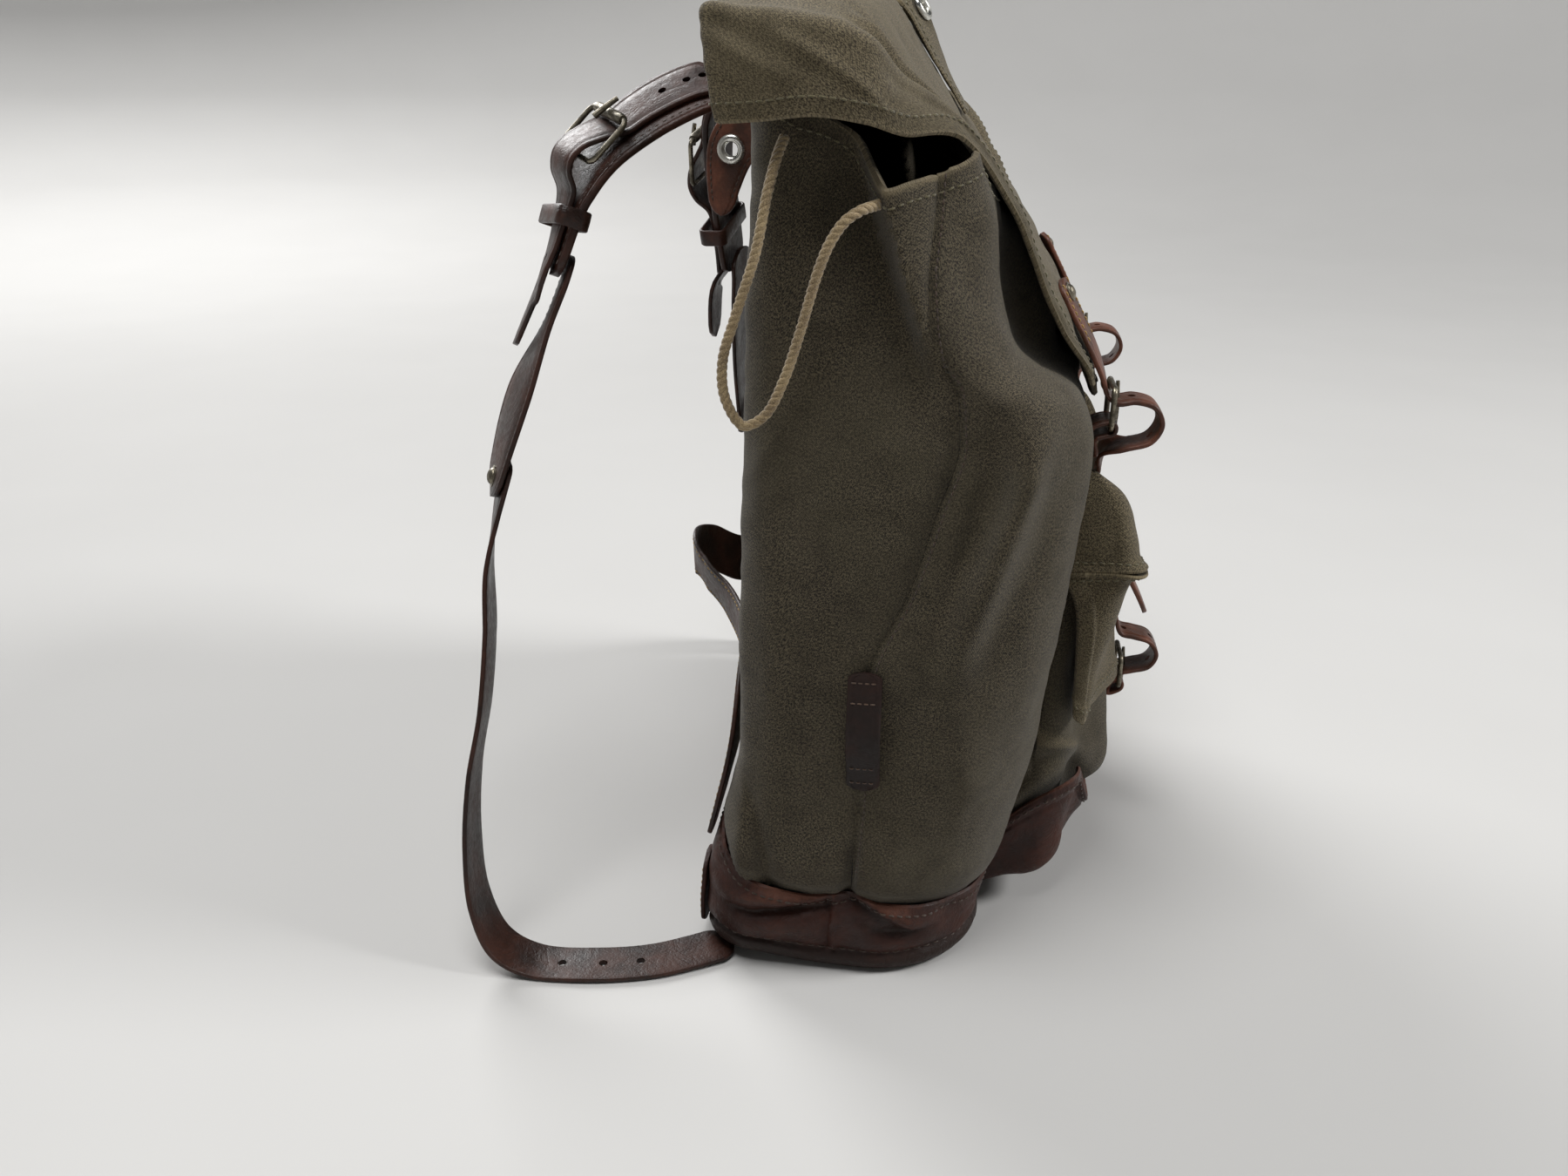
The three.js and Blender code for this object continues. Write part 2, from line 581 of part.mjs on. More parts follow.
// Leather base: one closed outline, the front half and then the back half in reverse
function baseRow(zOf, grow, thicknessUp) {
  const front = outlineShares().map((share) => ({ half: 1, share }));
  const back = outlineShares().slice(1, -1).reverse().map((share) => ({ half: -1, share }));
  return [...front, ...back].map(({ half, share }) => {
    const z = zOf(half, share);
    const point = sackPoint(Math.max(z, SACK[0].z), half, share, grow);
    const near = Math.hypot(point.x - CORNER_LIFT.x, point.y - CORNER_LIFT.y) / CORNER_LIFT.reach;
    const lift = CORNER_LIFT.rise * Math.exp(-near * near) * smooth((30 - z) / 24);
    point.z = z + thicknessUp + lift;
    return point;
  });
}

function baseWall() {
  const skin = (grow, up) => {
    const rows = BASE_ROWS.map(({ z, inset }) => baseRow(() => z, grow - inset, up * smooth(1 - z / 14)));
    const edge = (half, share) => follow(half > 0 ? FRONT_EDGE : BACK_EDGE, "at", "z", share);
    const underEdge = (half, share) => mix(BASE_ROWS.at(-1).z, edge(half, share), 0.5);
    return [...rows, baseRow(underEdge, grow, 0), baseRow(edge, grow, 0)];
  };
  return wall(skin(LAP_GAP + LEATHER, 0), skin(LAP_GAP, LEATHER), { ring: true });
}

function baseSole() {
  const face = (up) => [BASE_SOLE.middle, BASE_SOLE.rim].map((inset) => baseRow(() => 0, -inset, up));
  return wall(face(0), face(LEATHER), { ring: true, floor: true });
}

addPiece("base_leather", baseWall(), FINISH.baseLeather);
addPiece("base_sole", baseSole(), FINISH.baseLeather);

// Lid
function lidPoint(rib, across) {
  const row = rowAt(LID, rib);
  const side = Math.sign(across);
  const reach = Math.abs(across);
  if (reach <= LID_FOLD_AT) {
    const s = reach / LID_FOLD_AT;
    const drop = s ** row.flat;
    return new THREE.Vector3(
      mix(row.midX, row.foldX, drop),
      side * row.foldY * s,
      mix(row.midZ, row.foldZ, drop),
    );
  }
  const s = (reach - LID_FOLD_AT) / (1 - LID_FOLD_AT);
  return new THREE.Vector3(
    mix(row.foldX, row.hemX, s),
    side * mix(row.foldY, row.hemY, Math.sqrt(s)),
    mix(row.foldZ, row.hemZ, s),
  );
}

const LID_SHARES = [-1, -0.93, -0.86, ...steps(10).map((s) => mix(-LID_FOLD_AT, LID_FOLD_AT, s)), 0.86, 0.93, 1];
const lidGrid = steps(LID_STEPS).map((s) => LID_SHARES.map((a) => lidPoint(s * (LID.length - 1), a)));
const underLid = (p) => new THREE.Vector3(Math.min(p.x, 20) - 20, p.y * 0.5, 380);
addPiece("lid_canvas", wall(lidGrid, inwards(lidGrid, CANVAS, underLid)), FINISH.canvas);

// Frame of a point on the lid: its place and the three directions there
function lidFrame(rib, y) {
  const across = (y / rowAt(LID, rib).foldY) * LID_FOLD_AT;
  const p = lidPoint(rib, across);
  const t = lidPoint(rib + 0.05, across).sub(p).normalize();
  const a = lidPoint(rib, across + 0.01).sub(p).normalize();
  const n = new THREE.Vector3().crossVectors(t, a).normalize();
  return { p, t, a, n };
}

// Sleeve on the lid, an arch across that flattens towards its foot
function sleeve() {
  const grid = steps(5).map((s) =>
    steps(6).map((w) => {
      const rib = mix(SLEEVE.fromRib, SLEEVE.toRib, s);
      const { p, n } = lidFrame(rib, SLEEVE.y + SLEEVE.half * (2 * w - 1));
      const arch = mix(SLEEVE.topArch, SLEEVE.footArch, smooth(s)) * Math.sin(Math.PI * w);
      return p.addScaledVector(n, SLEEVE.clear + CANVAS + arch);
    }),
  );
  return wall(grid, inwards(grid, CANVAS * 0.8, underLid));
}

addPiece("lid_sleeve", sleeve(), FINISH.canvas);

// Placing a flat piece made in its own frame, with its x across and its z out
function place(mesh, { p, a, n }, out = 0) {
  const along = new THREE.Vector3().crossVectors(n, a);
  mesh.quaternion.setFromRotationMatrix(new THREE.Matrix4().makeBasis(a, along, n));
  mesh.position.copy(p).addScaledVector(n, out);
  return mesh;
}

// Rings, rivets and eyelets
function roundedOutline(path, width, height, round) {
  const [x, y] = [width / 2, height / 2];
  path.moveTo(-x + round, -y);
  path.lineTo(x - round, -y);
  path.quadraticCurveTo(x, -y, x, -y + round);
  path.lineTo(x, y - round);
  path.quadraticCurveTo(x, y, x - round, y);
  path.lineTo(-x + round, y);
  path.quadraticCurveTo(-x, y, -x, y - round);
  path.lineTo(-x, -y + round);
  path.quadraticCurveTo(-x, -y, -x + round, -y);
  return path;
}

function frameRing(width, height, bar, depth, round) {
  const shape = roundedOutline(new THREE.Shape(), width, height, round);
  const window = roundedOutline(new THREE.Path(), width - 2 * bar, height - 2 * bar, round * 0.5);
  shape.holes.push(window);
  const ring = new THREE.ExtrudeGeometry(shape, { depth, bevelEnabled: false, curveSegments: 2 });
  return ring.translate(0, 0, -depth / 2);
}

function rivetHead(radius, height) {
  const profile = [[0, 0], [radius, 0], [radius * 0.85, height * 0.7], [0, height]];
  const head = new THREE.LatheGeometry(profile.map(([x, y]) => new THREE.Vector2(x, y)), 12);
  return head.rotateX(Math.PI / 2);
}

function eyelet(outer, bore, height) {
  const middle = (outer + bore) / 2;
  const profile = [[bore, 0], [outer, 0], [middle, height], [bore, 0]];
  const ring = new THREE.LatheGeometry(profile.map(([x, y]) => new THREE.Vector2(x, y)), 14);
  return ring.rotateX(Math.PI / 2);
}

// Eyelet on the flank of the sleeve that faces the wearer's left
function sleeveEyeletFrame() {
  const w = 0.24;
  const at = (rib, share) => {
    const s = (rib - SLEEVE.fromRib) / (SLEEVE.toRib - SLEEVE.fromRib);
    const { p, n } = lidFrame(rib, SLEEVE.y + SLEEVE.half * (2 * share - 1));
    const arch = mix(SLEEVE.topArch, SLEEVE.footArch, smooth(s)) * Math.sin(Math.PI * share);
    return p.addScaledVector(n, SLEEVE.clear + CANVAS + arch);
  };
  const rib = SLEEVE.fromRib + 0.32;
  const p = at(rib, w);
  const t = at(rib + 0.1, w).sub(p).normalize();
  const a = at(rib, w + 0.06).sub(p).normalize();
  const n = new THREE.Vector3().crossVectors(t, a).normalize();
  return { p, a, n };
}
place(addPiece("sleeve_eyelet", eyelet(8, 3.8, 2), FINISH.brightMetal), sleeveEyeletFrame(), 1.4);

// Straps: frames along a smooth route, with the width towards a hint, towards each row's own direction,
// or square to an outward direction
function route(rows, hint = Y_AXIS, outward = null) {
  const curve = new THREE.CatmullRomCurve3(
    rows.map(({ x, y, z }) => new THREE.Vector3(x, y, z)),
    false,
    "centripetal",
  );
  return (share) => {
    const p = curve.getPoint(share);
    const t = curve.getTangent(share);
    const { width, lean, ax, ay, az } = rowAt(rows, share * (rows.length - 1));
    const wanted = ax === undefined ? hint : new THREE.Vector3(ax, ay, az);
    const a = outward
      ? new THREE.Vector3().crossVectors(outward, t).normalize()
      : wanted.clone().addScaledVector(t, -wanted.dot(t)).normalize();
    a.applyAxisAngle(t, THREE.MathUtils.degToRad(-(lean ?? 0)));
    const n = new THREE.Vector3().crossVectors(t, a).normalize();
    return { p, t, a, n, width };
  };
}

// A strap of the route's width; lift moves it off the route and crown bends its section
function strap(frameAt, { thickness = STRAP, lift = 0, crown = 0, from = 0, to = 1, count = 18, columns = 1 } = {}) {
  const skin = (out) =>
    steps(count).map((s) => {
      const { p, a, n, width } = frameAt(mix(from, to, s));
      return steps(columns).map((w) => {
        const off = lift + out - crown * (2 * w - 1) ** 2;
        return p.clone().addScaledVector(a, width * (w - 0.5)).addScaledVector(n, off);
      });
    });
  return wall(skin(thickness / 2), skin(-thickness / 2));
}

// Side tabs
for (const { word, sign } of SIDES) {
  const rows = steps(6).map((s) => {
    const z = mix(SIDE_TAB.foot, SIDE_TAB.top, s);
    const bow = SIDE_TAB.bow * Math.sin(Math.PI * s) ** 2;
    const skin = follow(SACK, "z", "half", z) + Math.max(0, sideFold(SIDE_TAB.x, z));
    return { x: SIDE_TAB.x, y: sign * (skin + LAP_GAP + LEATHER / 2 + bow), z, width: SIDE_TAB.width };
  });
  const tab = strap(route(rows, X_AXIS), { thickness: LEATHER, count: 8 });
  addPiece(`side_tab_${word}`, tab, FINISH.strapLeather);
}

// Pocket walls and flaps: an outline that leaves the front panel, turns a corner and crosses the front
function pouchPoint(row, share) {
  const side = share < 0.5 ? LEFT : RIGHT;
  const s = share < 0.5 ? share * 2 : (1 - share) * 2;
  const overBase = smooth((BASE_CLEAR_TOP - row.endZ) / 15);
  const endX = panelX(row.endZ, row.half) + mix(PANEL_CLEAR, BASE_CLEAR, overBase);
  const cornerX = row.corner - row.round;
  let x = row.corner;
  let y = row.half - row.round;
  let dip = 0;
  if (s < 0.3) {
    x = mix(endX, cornerX, s / 0.3);
    y = row.half;
  } else if (s < 0.62) {
    const angle = (Math.PI / 2) * ((s - 0.3) / 0.32);
    x = cornerX + row.round * Math.sin(angle);
    y = row.half - row.round + row.round * Math.cos(angle);
  } else {
    y = (row.half - row.round) * (1 - (s - 0.62) / 0.38);
    const inward = (row.half - row.round - y) / (row.half - row.round - row.reach);
    x = mix(row.corner, row.middle, smooth(inward));
    dip = (row.dip ?? 0) * smooth(inward);
  }
  const forward = clamp((x - endX) / Math.max(1, row.corner - endX), 0, 1);
  return new THREE.Vector3(x, side * y, mix(row.endZ, row.frontZ, forward) - dip);
}

const POUCH_SHARES = [0, 0.08, 0.15, 0.205, 0.26, 0.31, 0.325, 0.345, 0.38, 0.42, 0.5];
function pouch(rows, thickness, perRow) {
  const shares = [...POUCH_SHARES, ...POUCH_SHARES.slice(0, -1).reverse().map((s) => 1 - s)];
  const count = (rows.length - 1) * perRow;
  const grid = steps(count).map((s) => shares.map((at) => pouchPoint(rowAt(rows, s * (rows.length - 1)), at)));
  const inside = (p) => new THREE.Vector3(p.x - 30, p.y * 0.6, mix(p.z, 130, 0.3));
  return wall(grid, inwards(grid, thickness, inside));
}

addPiece("pocket_canvas", pouch(POCKET_WALL, CANVAS, 1), FINISH.canvas);
addPiece("pocket_leather", pouch(POCKET_FOOT, LEATHER, 1), FINISH.baseLeather);
addPiece("flap_top", pouch(FLAP_TOP, CANVAS, 2), FINISH.canvas);
addPiece("flap_skirt", pouch(FLAP_SKIRT, CANVAS, 2), FINISH.canvas);

// Straps seen from the side, at a fixed place across the front
const sideRoute = (rows, y, width) =>
  rows.map((row) => {
    const side = Math.sign(y);
    return { x: row.x, y: y - side * (row.in ?? 0), z: row.z, width, lean: side * (row.lean ?? 0) };
  });
const facing = (x, y, z) => ({ p: new THREE.Vector3(x, y, z), a: Y_AXIS.clone(), n: X_AXIS.clone() });
const flatTab = (heights, y, width, skinX) => {
  const rows = heights.map((z) => ({ x: skinX(z) + LAP_GAP + LEATHER / 2, y, z, width }));
  return strap(route(rows), { thickness: LEATHER, count: 4 });
};
const buckleFrame = ({ width, height }) => frameRing(width, height, BUCKLE_BAR, WIRE, 5);

for (const { word, sign } of SIDES) {
  const y = sign * LID_STRAP.y;
  const along = route(sideRoute(LID_STRAP_ROUTE, y, LID_STRAP.width));
  const lidStrap = strap(along, { thickness: LEATHER, count: LID_STRAP_STEPS });
  addPiece(`lid_strap_${word}`, lidStrap, FINISH.tanLeather);
  const rivet = addPiece(`lid_rivet_${word}`, rivetHead(5, 2.2), FINISH.agedMetal);
  place(rivet, along(0.03), LEATHER / 2 + GAP);
  const heights = [LID_CHAPE.top, mix(LID_CHAPE.top, LID_CHAPE.foot, 0.5), LID_CHAPE.foot];
  const chape = flatTab(heights, y, LID_CHAPE.width, (z) => panelX(z, y));
  addPiece(`lid_chape_${word}`, chape, FINISH.tanLeather);
  const buckle = addPiece(`lid_buckle_${word}`, buckleFrame(LID_BUCKLE), FINISH.agedMetal);
  place(buckle, facing(LID_BUCKLE.x, y, LID_BUCKLE.z));
}

const pocketMiddle = POCKET_WALL.map(({ frontZ, dip, middle }) => ({ z: frontZ - dip, middle }));
const pocketFront = (z) => follow(pocketMiddle, "z", "middle", z);
const pocketAlong = route(sideRoute(POCKET_STRAP_ROUTE, 0, POCKET_STRAP.width));
const pocketStrap = strap(pocketAlong, { thickness: LEATHER, count: POCKET_STRAP.steps });
addPiece("pocket_strap", pocketStrap, FINISH.tanLeather);
const pocketChape = flatTab([POCKET_CHAPE.top, POCKET_CHAPE.foot], 0, POCKET_CHAPE.width, pocketFront);
addPiece("pocket_chape", pocketChape, FINISH.tanLeather);
const pocketBuckle = addPiece("pocket_buckle", buckleFrame(POCKET_BUCKLE), FINISH.agedMetal);
place(pocketBuckle, facing(POCKET_BUCKLE.x, 0, POCKET_BUCKLE.z));

// Carrying straps: pad, strap on the pad with its buckle and keeper, lower strap, rivet and punched end
const BACKWARDS = Y_AXIS.clone().negate();
const PAD_TOP = PAD / 2 + SHOULDER.fromPad;
const FRAME_OUT = PAD_TOP + STRAP + 5 * GAP + WIRE / 2;
const OVER_FRAME = FRAME_OUT + WIRE / 2 + GAP + STRAP / 2;
const ON_PAD = PAD_TOP + STRAP / 2;
const SHOULDER_LIFT = [
  { at: 0, lift: ON_PAD },
  { at: 0.38, lift: ON_PAD },
  { at: 0.42, lift: ON_PAD + 0.3 },
  { at: 0.48, lift: mix(ON_PAD, OVER_FRAME, 0.62) },
  { at: 0.535, lift: OVER_FRAME + 1.6 },
  { at: 0.575, lift: OVER_FRAME + 2.8 },
  { at: 0.61, lift: OVER_FRAME + 2.2 },
  { at: 0.66, lift: mix(ON_PAD, OVER_FRAME, 0.3) },
  { at: 0.7, lift: ON_PAD },
  { at: 1, lift: ON_PAD + 1 },
];
const PRONG = [
  { at: 0.46, out: OVER_FRAME + 2.6 },
  { at: 0.385, out: OVER_FRAME + 2.4 },
];
const PRONG_SIZE = { width: 3.6, thickness: 2.2 };
const KEEPER = { wall: 2.2, depth: 10, roomAcross: 7.5, roomOut: 10 };

function shoulderStrap(word, padRows, tailRows, lowerRows, endRows) {
  const pad = route(padRows, BACKWARDS);
  const padBody = strap(pad, { thickness: PAD, crown: 1.5, count: 14, columns: 2 });
  addPiece(`shoulder_pad_${word}`, padBody, FINISH.strapLeather);

  const onPad = (at, lift) => {
    const { p, a, n } = pad(at);
    const { x, y, z } = p.addScaledVector(n, lift);
    return { x, y, z, width: SHOULDER.strap, ax: a.x, ay: a.y, az: a.z };
  };
  const strapRows = steps(24).map((at) => onPad(at, follow(SHOULDER_LIFT, "at", "lift", at)));
  const { ax, ay, az } = strapRows.at(-1);
  const hanging = tailRows.map((row) => ({ ...row, ax, ay, az }));
  const upper = strap(route([...strapRows, ...hanging], BACKWARDS), { count: 39 });
  addPiece(`shoulder_strap_${word}`, upper, FINISH.strapLeather);

  const size = { width: SHOULDER.buckleWidth, height: SHOULDER.buckleHeight };
  const buckle = addPiece(`shoulder_buckle_${word}`, buckleFrame(size), FINISH.agedMetal);
  place(buckle, pad(SHOULDER.buckleAt), FRAME_OUT);
  const prongRows = PRONG.map(({ at, out }) => ({ ...onPad(at, out), width: PRONG_SIZE.width }));
  const prong = strap(route(prongRows, BACKWARDS), { thickness: PRONG_SIZE.thickness, count: 2 });
  addPiece(`shoulder_prong_${word}`, prong, FINISH.agedMetal);

  const held = pad(SHOULDER.keeperAt);
  const stack = PAD + SHOULDER.fromPad + STRAP;
  const keeperRing = frameRing(
    held.width + KEEPER.roomAcross,
    stack + KEEPER.roomOut,
    KEEPER.wall,
    KEEPER.depth,
    2.5,
  );
  const keeper = addPiece(`shoulder_keeper_${word}`, keeperRing, FINISH.strapLeather);
  const middle = (PAD_TOP + STRAP - PAD / 2) / 2;
  place(keeper, { p: held.p.addScaledVector(held.n, middle), a: held.a, n: held.t });

  const lower = route(lowerRows, BACKWARDS);
  addPiece(`lower_strap_${word}`, strap(lower, { count: 12 }), FINISH.strapLeather);
  const rivet = addPiece(`strap_rivet_${word}`, rivetHead(6, 2.4), FINISH.agedMetal);
  place(rivet, lower(0.84), STRAP / 2 + 2 * GAP);
  const end = strap(route(endRows, BACKWARDS), { count: 26 });
  addPiece(`end_strap_${word}`, end, FINISH.strapLeather);
}

shoulderStrap("left", LEFT_PAD, LEFT_TAIL, LEFT_LOWER, LEFT_END);
shoulderStrap("right", RIGHT_PAD, RIGHT_TAIL, RIGHT_LOWER, RIGHT_END);

// Plate at the top of the back, and the metal loops that join the pads to it
function anchorPlate() {
  const skin = (out) =>
    [STRAP_ANCHOR.foot, STRAP_ANCHOR.top].map((z) =>
      steps(8).map((s) => {
        const y = STRAP_ANCHOR.half * (2 * s - 1);
        return new THREE.Vector3(backX(z, y) - LAP_GAP - out, y, z);
      }),
    );
  return wall(skin(STRAP_ANCHOR.thick), skin(0));
}
addPiece("strap_anchor", anchorPlate(), FINISH.strapLeather);
for (const { word, sign } of SIDES) {
  const ring = frameRing(ANCHOR_RING.width, ANCHOR_RING.height, BUCKLE_BAR, WIRE, 4);
  const p = new THREE.Vector3(ANCHOR_RING.x, sign * ANCHOR_RING.y, ANCHOR_RING.z);
  place(addPiece(`anchor_ring_${word}`, ring, FINISH.agedMetal), { p, a: Y_AXIS, n: Z_AXIS });
}

// Hanging tab with its eyelet
const tabAlong = route(HANG_TAB, X_AXIS);
addPiece("hang_tab", strap(tabAlong, { thickness: LEATHER, count: 10 }), FINISH.strapLeather);
const tabEyelet = addPiece("tab_eyelet", eyelet(8.5, 4, 2.2), FINISH.brightMetal);
place(tabEyelet, tabAlong(TAB_EYELET_AT), LEATHER / 2 + 2 * GAP);

// Strap across the small of the back and its tabs on the base
const hip = strap(route(HIP_STRAP, Z_AXIS, X_AXIS.clone().negate()), { thickness: LEATHER, count: 36 });
addPiece("hip_strap", hip, FINISH.tanLeather);
for (const { word, sign } of SIDES) {
  const baseSkin = (z) => sackPoint(Math.max(z, SACK[0].z), -1, 0.36, LAP_GAP + LEATHER).x;
  const heights = [BASE_TAB.foot, 24, 38, BASE_TAB.top];
  const rows = heights.map((z) => ({
    x: baseSkin(z) - 2 * LAP_GAP - LEATHER / 2,
    y: sign * BASE_TAB.y,
    z,
    width: BASE_TAB.width,
  }));
  const tab = strap(route(rows), { thickness: LEATHER, count: 6 });
  addPiece(`base_tab_${word}`, tab, FINISH.baseLeather);
}

// Drawstring loop
function cord() {
  const path = new THREE.CatmullRomCurve3(
    CORD_ROUTE.map(([x, y, z]) => new THREE.Vector3(x, y, z)),
    false,
    "centripetal",
  );
  const section = new THREE.Shape();
  const corners = steps(CORD_SIDES).slice(0, -1);
  section.setFromPoints(
    corners.map((s) => {
      const angle = 2 * Math.PI * s;
      return new THREE.Vector2(Math.cos(angle), Math.sin(angle)).multiplyScalar(CORD_DIAMETER / 2);
    }),
  );
  return new THREE.ExtrudeGeometry(section, { extrudePath: path, steps: CORD_STEPS, bevelEnabled: false });
}
addPiece("drawstring", cord(), FINISH.cotton);

export default rucksack;
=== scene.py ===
"""Cloth, leather, metal, cord and stitching of a canvas rucksack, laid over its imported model."""
import logging
import math
from dataclasses import dataclass
from enum import Enum
from typing import Sequence

import bpy
import numpy as np
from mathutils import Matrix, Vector


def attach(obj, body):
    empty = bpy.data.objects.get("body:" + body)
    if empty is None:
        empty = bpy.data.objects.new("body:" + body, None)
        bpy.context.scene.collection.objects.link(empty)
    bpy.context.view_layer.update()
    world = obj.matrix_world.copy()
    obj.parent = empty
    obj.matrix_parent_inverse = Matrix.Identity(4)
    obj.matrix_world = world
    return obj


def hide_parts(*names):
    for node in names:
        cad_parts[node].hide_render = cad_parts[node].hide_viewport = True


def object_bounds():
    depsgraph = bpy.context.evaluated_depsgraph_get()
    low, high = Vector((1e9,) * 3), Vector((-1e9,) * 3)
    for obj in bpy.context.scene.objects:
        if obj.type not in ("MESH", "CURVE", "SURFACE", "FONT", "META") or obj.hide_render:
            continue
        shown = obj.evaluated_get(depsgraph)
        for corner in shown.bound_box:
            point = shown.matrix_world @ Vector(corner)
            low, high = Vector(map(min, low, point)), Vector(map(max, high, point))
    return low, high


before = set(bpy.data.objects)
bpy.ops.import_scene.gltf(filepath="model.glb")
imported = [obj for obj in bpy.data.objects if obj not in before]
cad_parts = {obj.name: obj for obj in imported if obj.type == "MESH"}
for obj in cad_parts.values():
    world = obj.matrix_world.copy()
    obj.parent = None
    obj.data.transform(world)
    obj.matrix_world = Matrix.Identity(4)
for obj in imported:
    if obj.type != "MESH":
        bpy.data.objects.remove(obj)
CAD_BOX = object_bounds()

LOG = logging.getLogger("rucksack")
MM = 0.001
ROOT = "root"
CREASE_DEGREES = 48.0
Array = np.ndarray
Values = Array | float
Pair = tuple[float, float]
Place = tuple[float, float, float]
Four = tuple[float, float, float, float]
Numbers = tuple[float, ...]
Waves = tuple[tuple[float, float, int], ...]


class Side(Enum):
    """The wearer's left and right, with their direction along Y."""

    LEFT = -1
    RIGHT = 1

    @property
    def word(self) -> str:
        """The side's word in the names of pieces."""
        return self.name.lower()


class Half(Enum):
    """The two halves of the sack, with their direction along X."""

    FRONT = 1
    BACK = -1


class Slot(Enum):
    """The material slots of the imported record."""

    CANVAS = "canvas"
    BASE = "base_leather"
    STRAP = "strap_leather"
    TAN = "tan_leather"
    AGED = "aged_metal"
    BRIGHT = "bright_metal"
    COTTON = "cotton"


class Stitch(Enum):
    """The kinds of stitching, with their pitch and length and half the thread's thickness."""

    CANVAS = 4.4, 3.3, 0.5
    SIDE_SEAM = 3.6, 2.8, 0.4
    LEATHER = 4.6, 3.4, 0.5
    SUNK = 4.6, 3.4, 0.36
    WELT = 6.0, 4.4, 0.55
    SIDE_TAB = 3.2, 2.4, 0.4
    CLOSING = 3.6, 2.8, 0.42
    HANG_TAB = 3.8, 2.9, 0.42
    HIP = 4.0, 3.0, 0.45


# Numbers and curves


def smooth(share: Values) -> Array:
    """Ease a share from 0 to 1, flat at both ends."""
    s = np.clip(share, 0.0, 1.0)
    return s * s * (3 - 2 * s)


def mix(a: Values, b: Values, share: Values) -> Array:
    """Go from a to b by a share."""
    return a + (b - a) * share


def hump(distance: Array, width: Values) -> Array:
    """A soft bump of height 1 that fades out over a width."""
    return np.exp(-((distance / width) ** 2))


def unit(vectors: Array) -> Array:
    """Vectors of the same direction and length 1."""
    return vectors / np.maximum(np.linalg.norm(vectors, axis=-1, keepdims=True), 1e-9)


def ripple(points: Array, wave: float, seed: int) -> Array:
    """A smooth uneven height over points.

    Args:
        points: Places in millimetres, with three numbers on the last axis.
        wave: About how far apart the bumps are.
        seed: Which of the possible surfaces to take.

    Returns:
        Heights of about -1 to 1, one for each point.
    """
    chance = np.random.default_rng(seed)
    total = np.zeros(points.shape[:-1])
    waves = 8
    for _ in range(waves):
        direction = unit(chance.normal(size=3))
        length = wave * chance.uniform(0.7, 1.5)
        total += np.sin(points @ direction * (2 * math.pi / length) + chance.uniform(0, 2 * math.pi))
    return total / waves * 1.6


def uneven(points: Array, waves: Waves) -> Array:
    """Ripples laid over each other, each with its height, wave and seed."""
    return sum(height * ripple(points, wave, seed) for height, wave, seed in waves)


def through(x: Array, y: Array, at: Values) -> Array:
    """Read a smooth curve through the points x, y at other places along x."""
    at = np.clip(np.asarray(at, float), x[0], x[-1])
    last = len(x) - 1
    i = np.clip(np.searchsorted(x, at) - 1, 0, last - 1)
    number = np.arange(last + 1)
    before, after = np.maximum(number - 1, 0), np.minimum(number + 1, last)
    slope = (y[after] - y[before]) / (x[after] - x[before])
    span = x[i + 1] - x[i]
    s = (at - x[i]) / span
    ends = s * (1 - s) ** 2 * span * slope[i] + s * s * (s - 1) * span * slope[i + 1]
    return mix(y[i], y[i + 1], s * s * (3 - 2 * s)) + ends


class Table:
    """Rows of sizes in millimetres with named columns, read as smooth curves."""

    def __init__(self, columns: str, *rows: Sequence[float], **fixed: float) -> None:
        """Keep the rows under their column names, and add columns that have one value all the way."""
        self.columns = [*columns.split(), *fixed]
        self.rows = np.array([(*row, *fixed.values()) for row in rows], float)

    def __len__(self) -> int:
        """The number of rows."""
        return len(self.rows)

    def __getitem__(self, column: str) -> Array:
        """One column, top to bottom."""
        return self.rows[:, self.columns.index(column)]

    def read(self, column: str, at: Values, by: str = "") -> Array:
        """Read a column between its rows.

        Args:
            column: The column to read.
            at: Values of the column named by, or row numbers where none is named.
            by: The column that at is measured along.

        Returns:
            The column's value at each place.
        """
        along = self[by] if by else np.arange(len(self), dtype=float)
        return through(along, self[column], at)


@dataclass(frozen=True)
class Fold:
    """A fold in a side wall: points of x, z and height along it, and how far it spreads to each side."""

    line: tuple[Place, ...]
    behind: float
    ahead: float

    def near(self, x: Array, z: Array) -> tuple[Array, Array, Array]:
        """Find the nearest place on the fold's line.

        Args:
            x: Places along X.
            z: Heights of the same places.

        Returns:
            The distance to the line, the fold's height there, and True where a place lies ahead of it.
        """
        best = np.full(np.shape(x), np.inf)
        height = np.zeros(np.shape(x))
        ahead = np.zeros(np.shape(x), bool)
        for (ax, az, ah), (bx, bz, bh) in zip(self.line, self.line[1:]):
            dx, dz = bx - ax, bz - az
            s = np.clip(((x - ax) * dx + (z - az) * dz) / (dx * dx + dz * dz), 0, 1)
            distance = np.hypot(x - ax - s * dx, z - az - s * dz)
            closer = distance < best
            best = np.where(closer, distance, best)
            height = np.where(closer, mix(ah, bh, s), height)
            ahead = np.where(closer, dx * (z - az) - dz * (x - ax) > 0, ahead)
        return best, height, ahead

    def height(self, x: Array, z: Array) -> Array:
        """How far the fold pushes the wall out at x, z."""
        distance, height, ahead = self.near(x, z)
        return height * hump(distance, np.where(ahead, self.ahead, self.behind))


# Finishes


def tint(code: str) -> Four:
    """A colour for a shader from its six-figure screen code."""
    screen = np.array([int(code[i : i + 2], 16) / 255 for i in (0, 2, 4)])
    light = np.where(screen <= 0.04045, screen / 12.92, ((screen + 0.055) / 1.055) ** 2.4)
    return (*light.tolist(), 1.0)


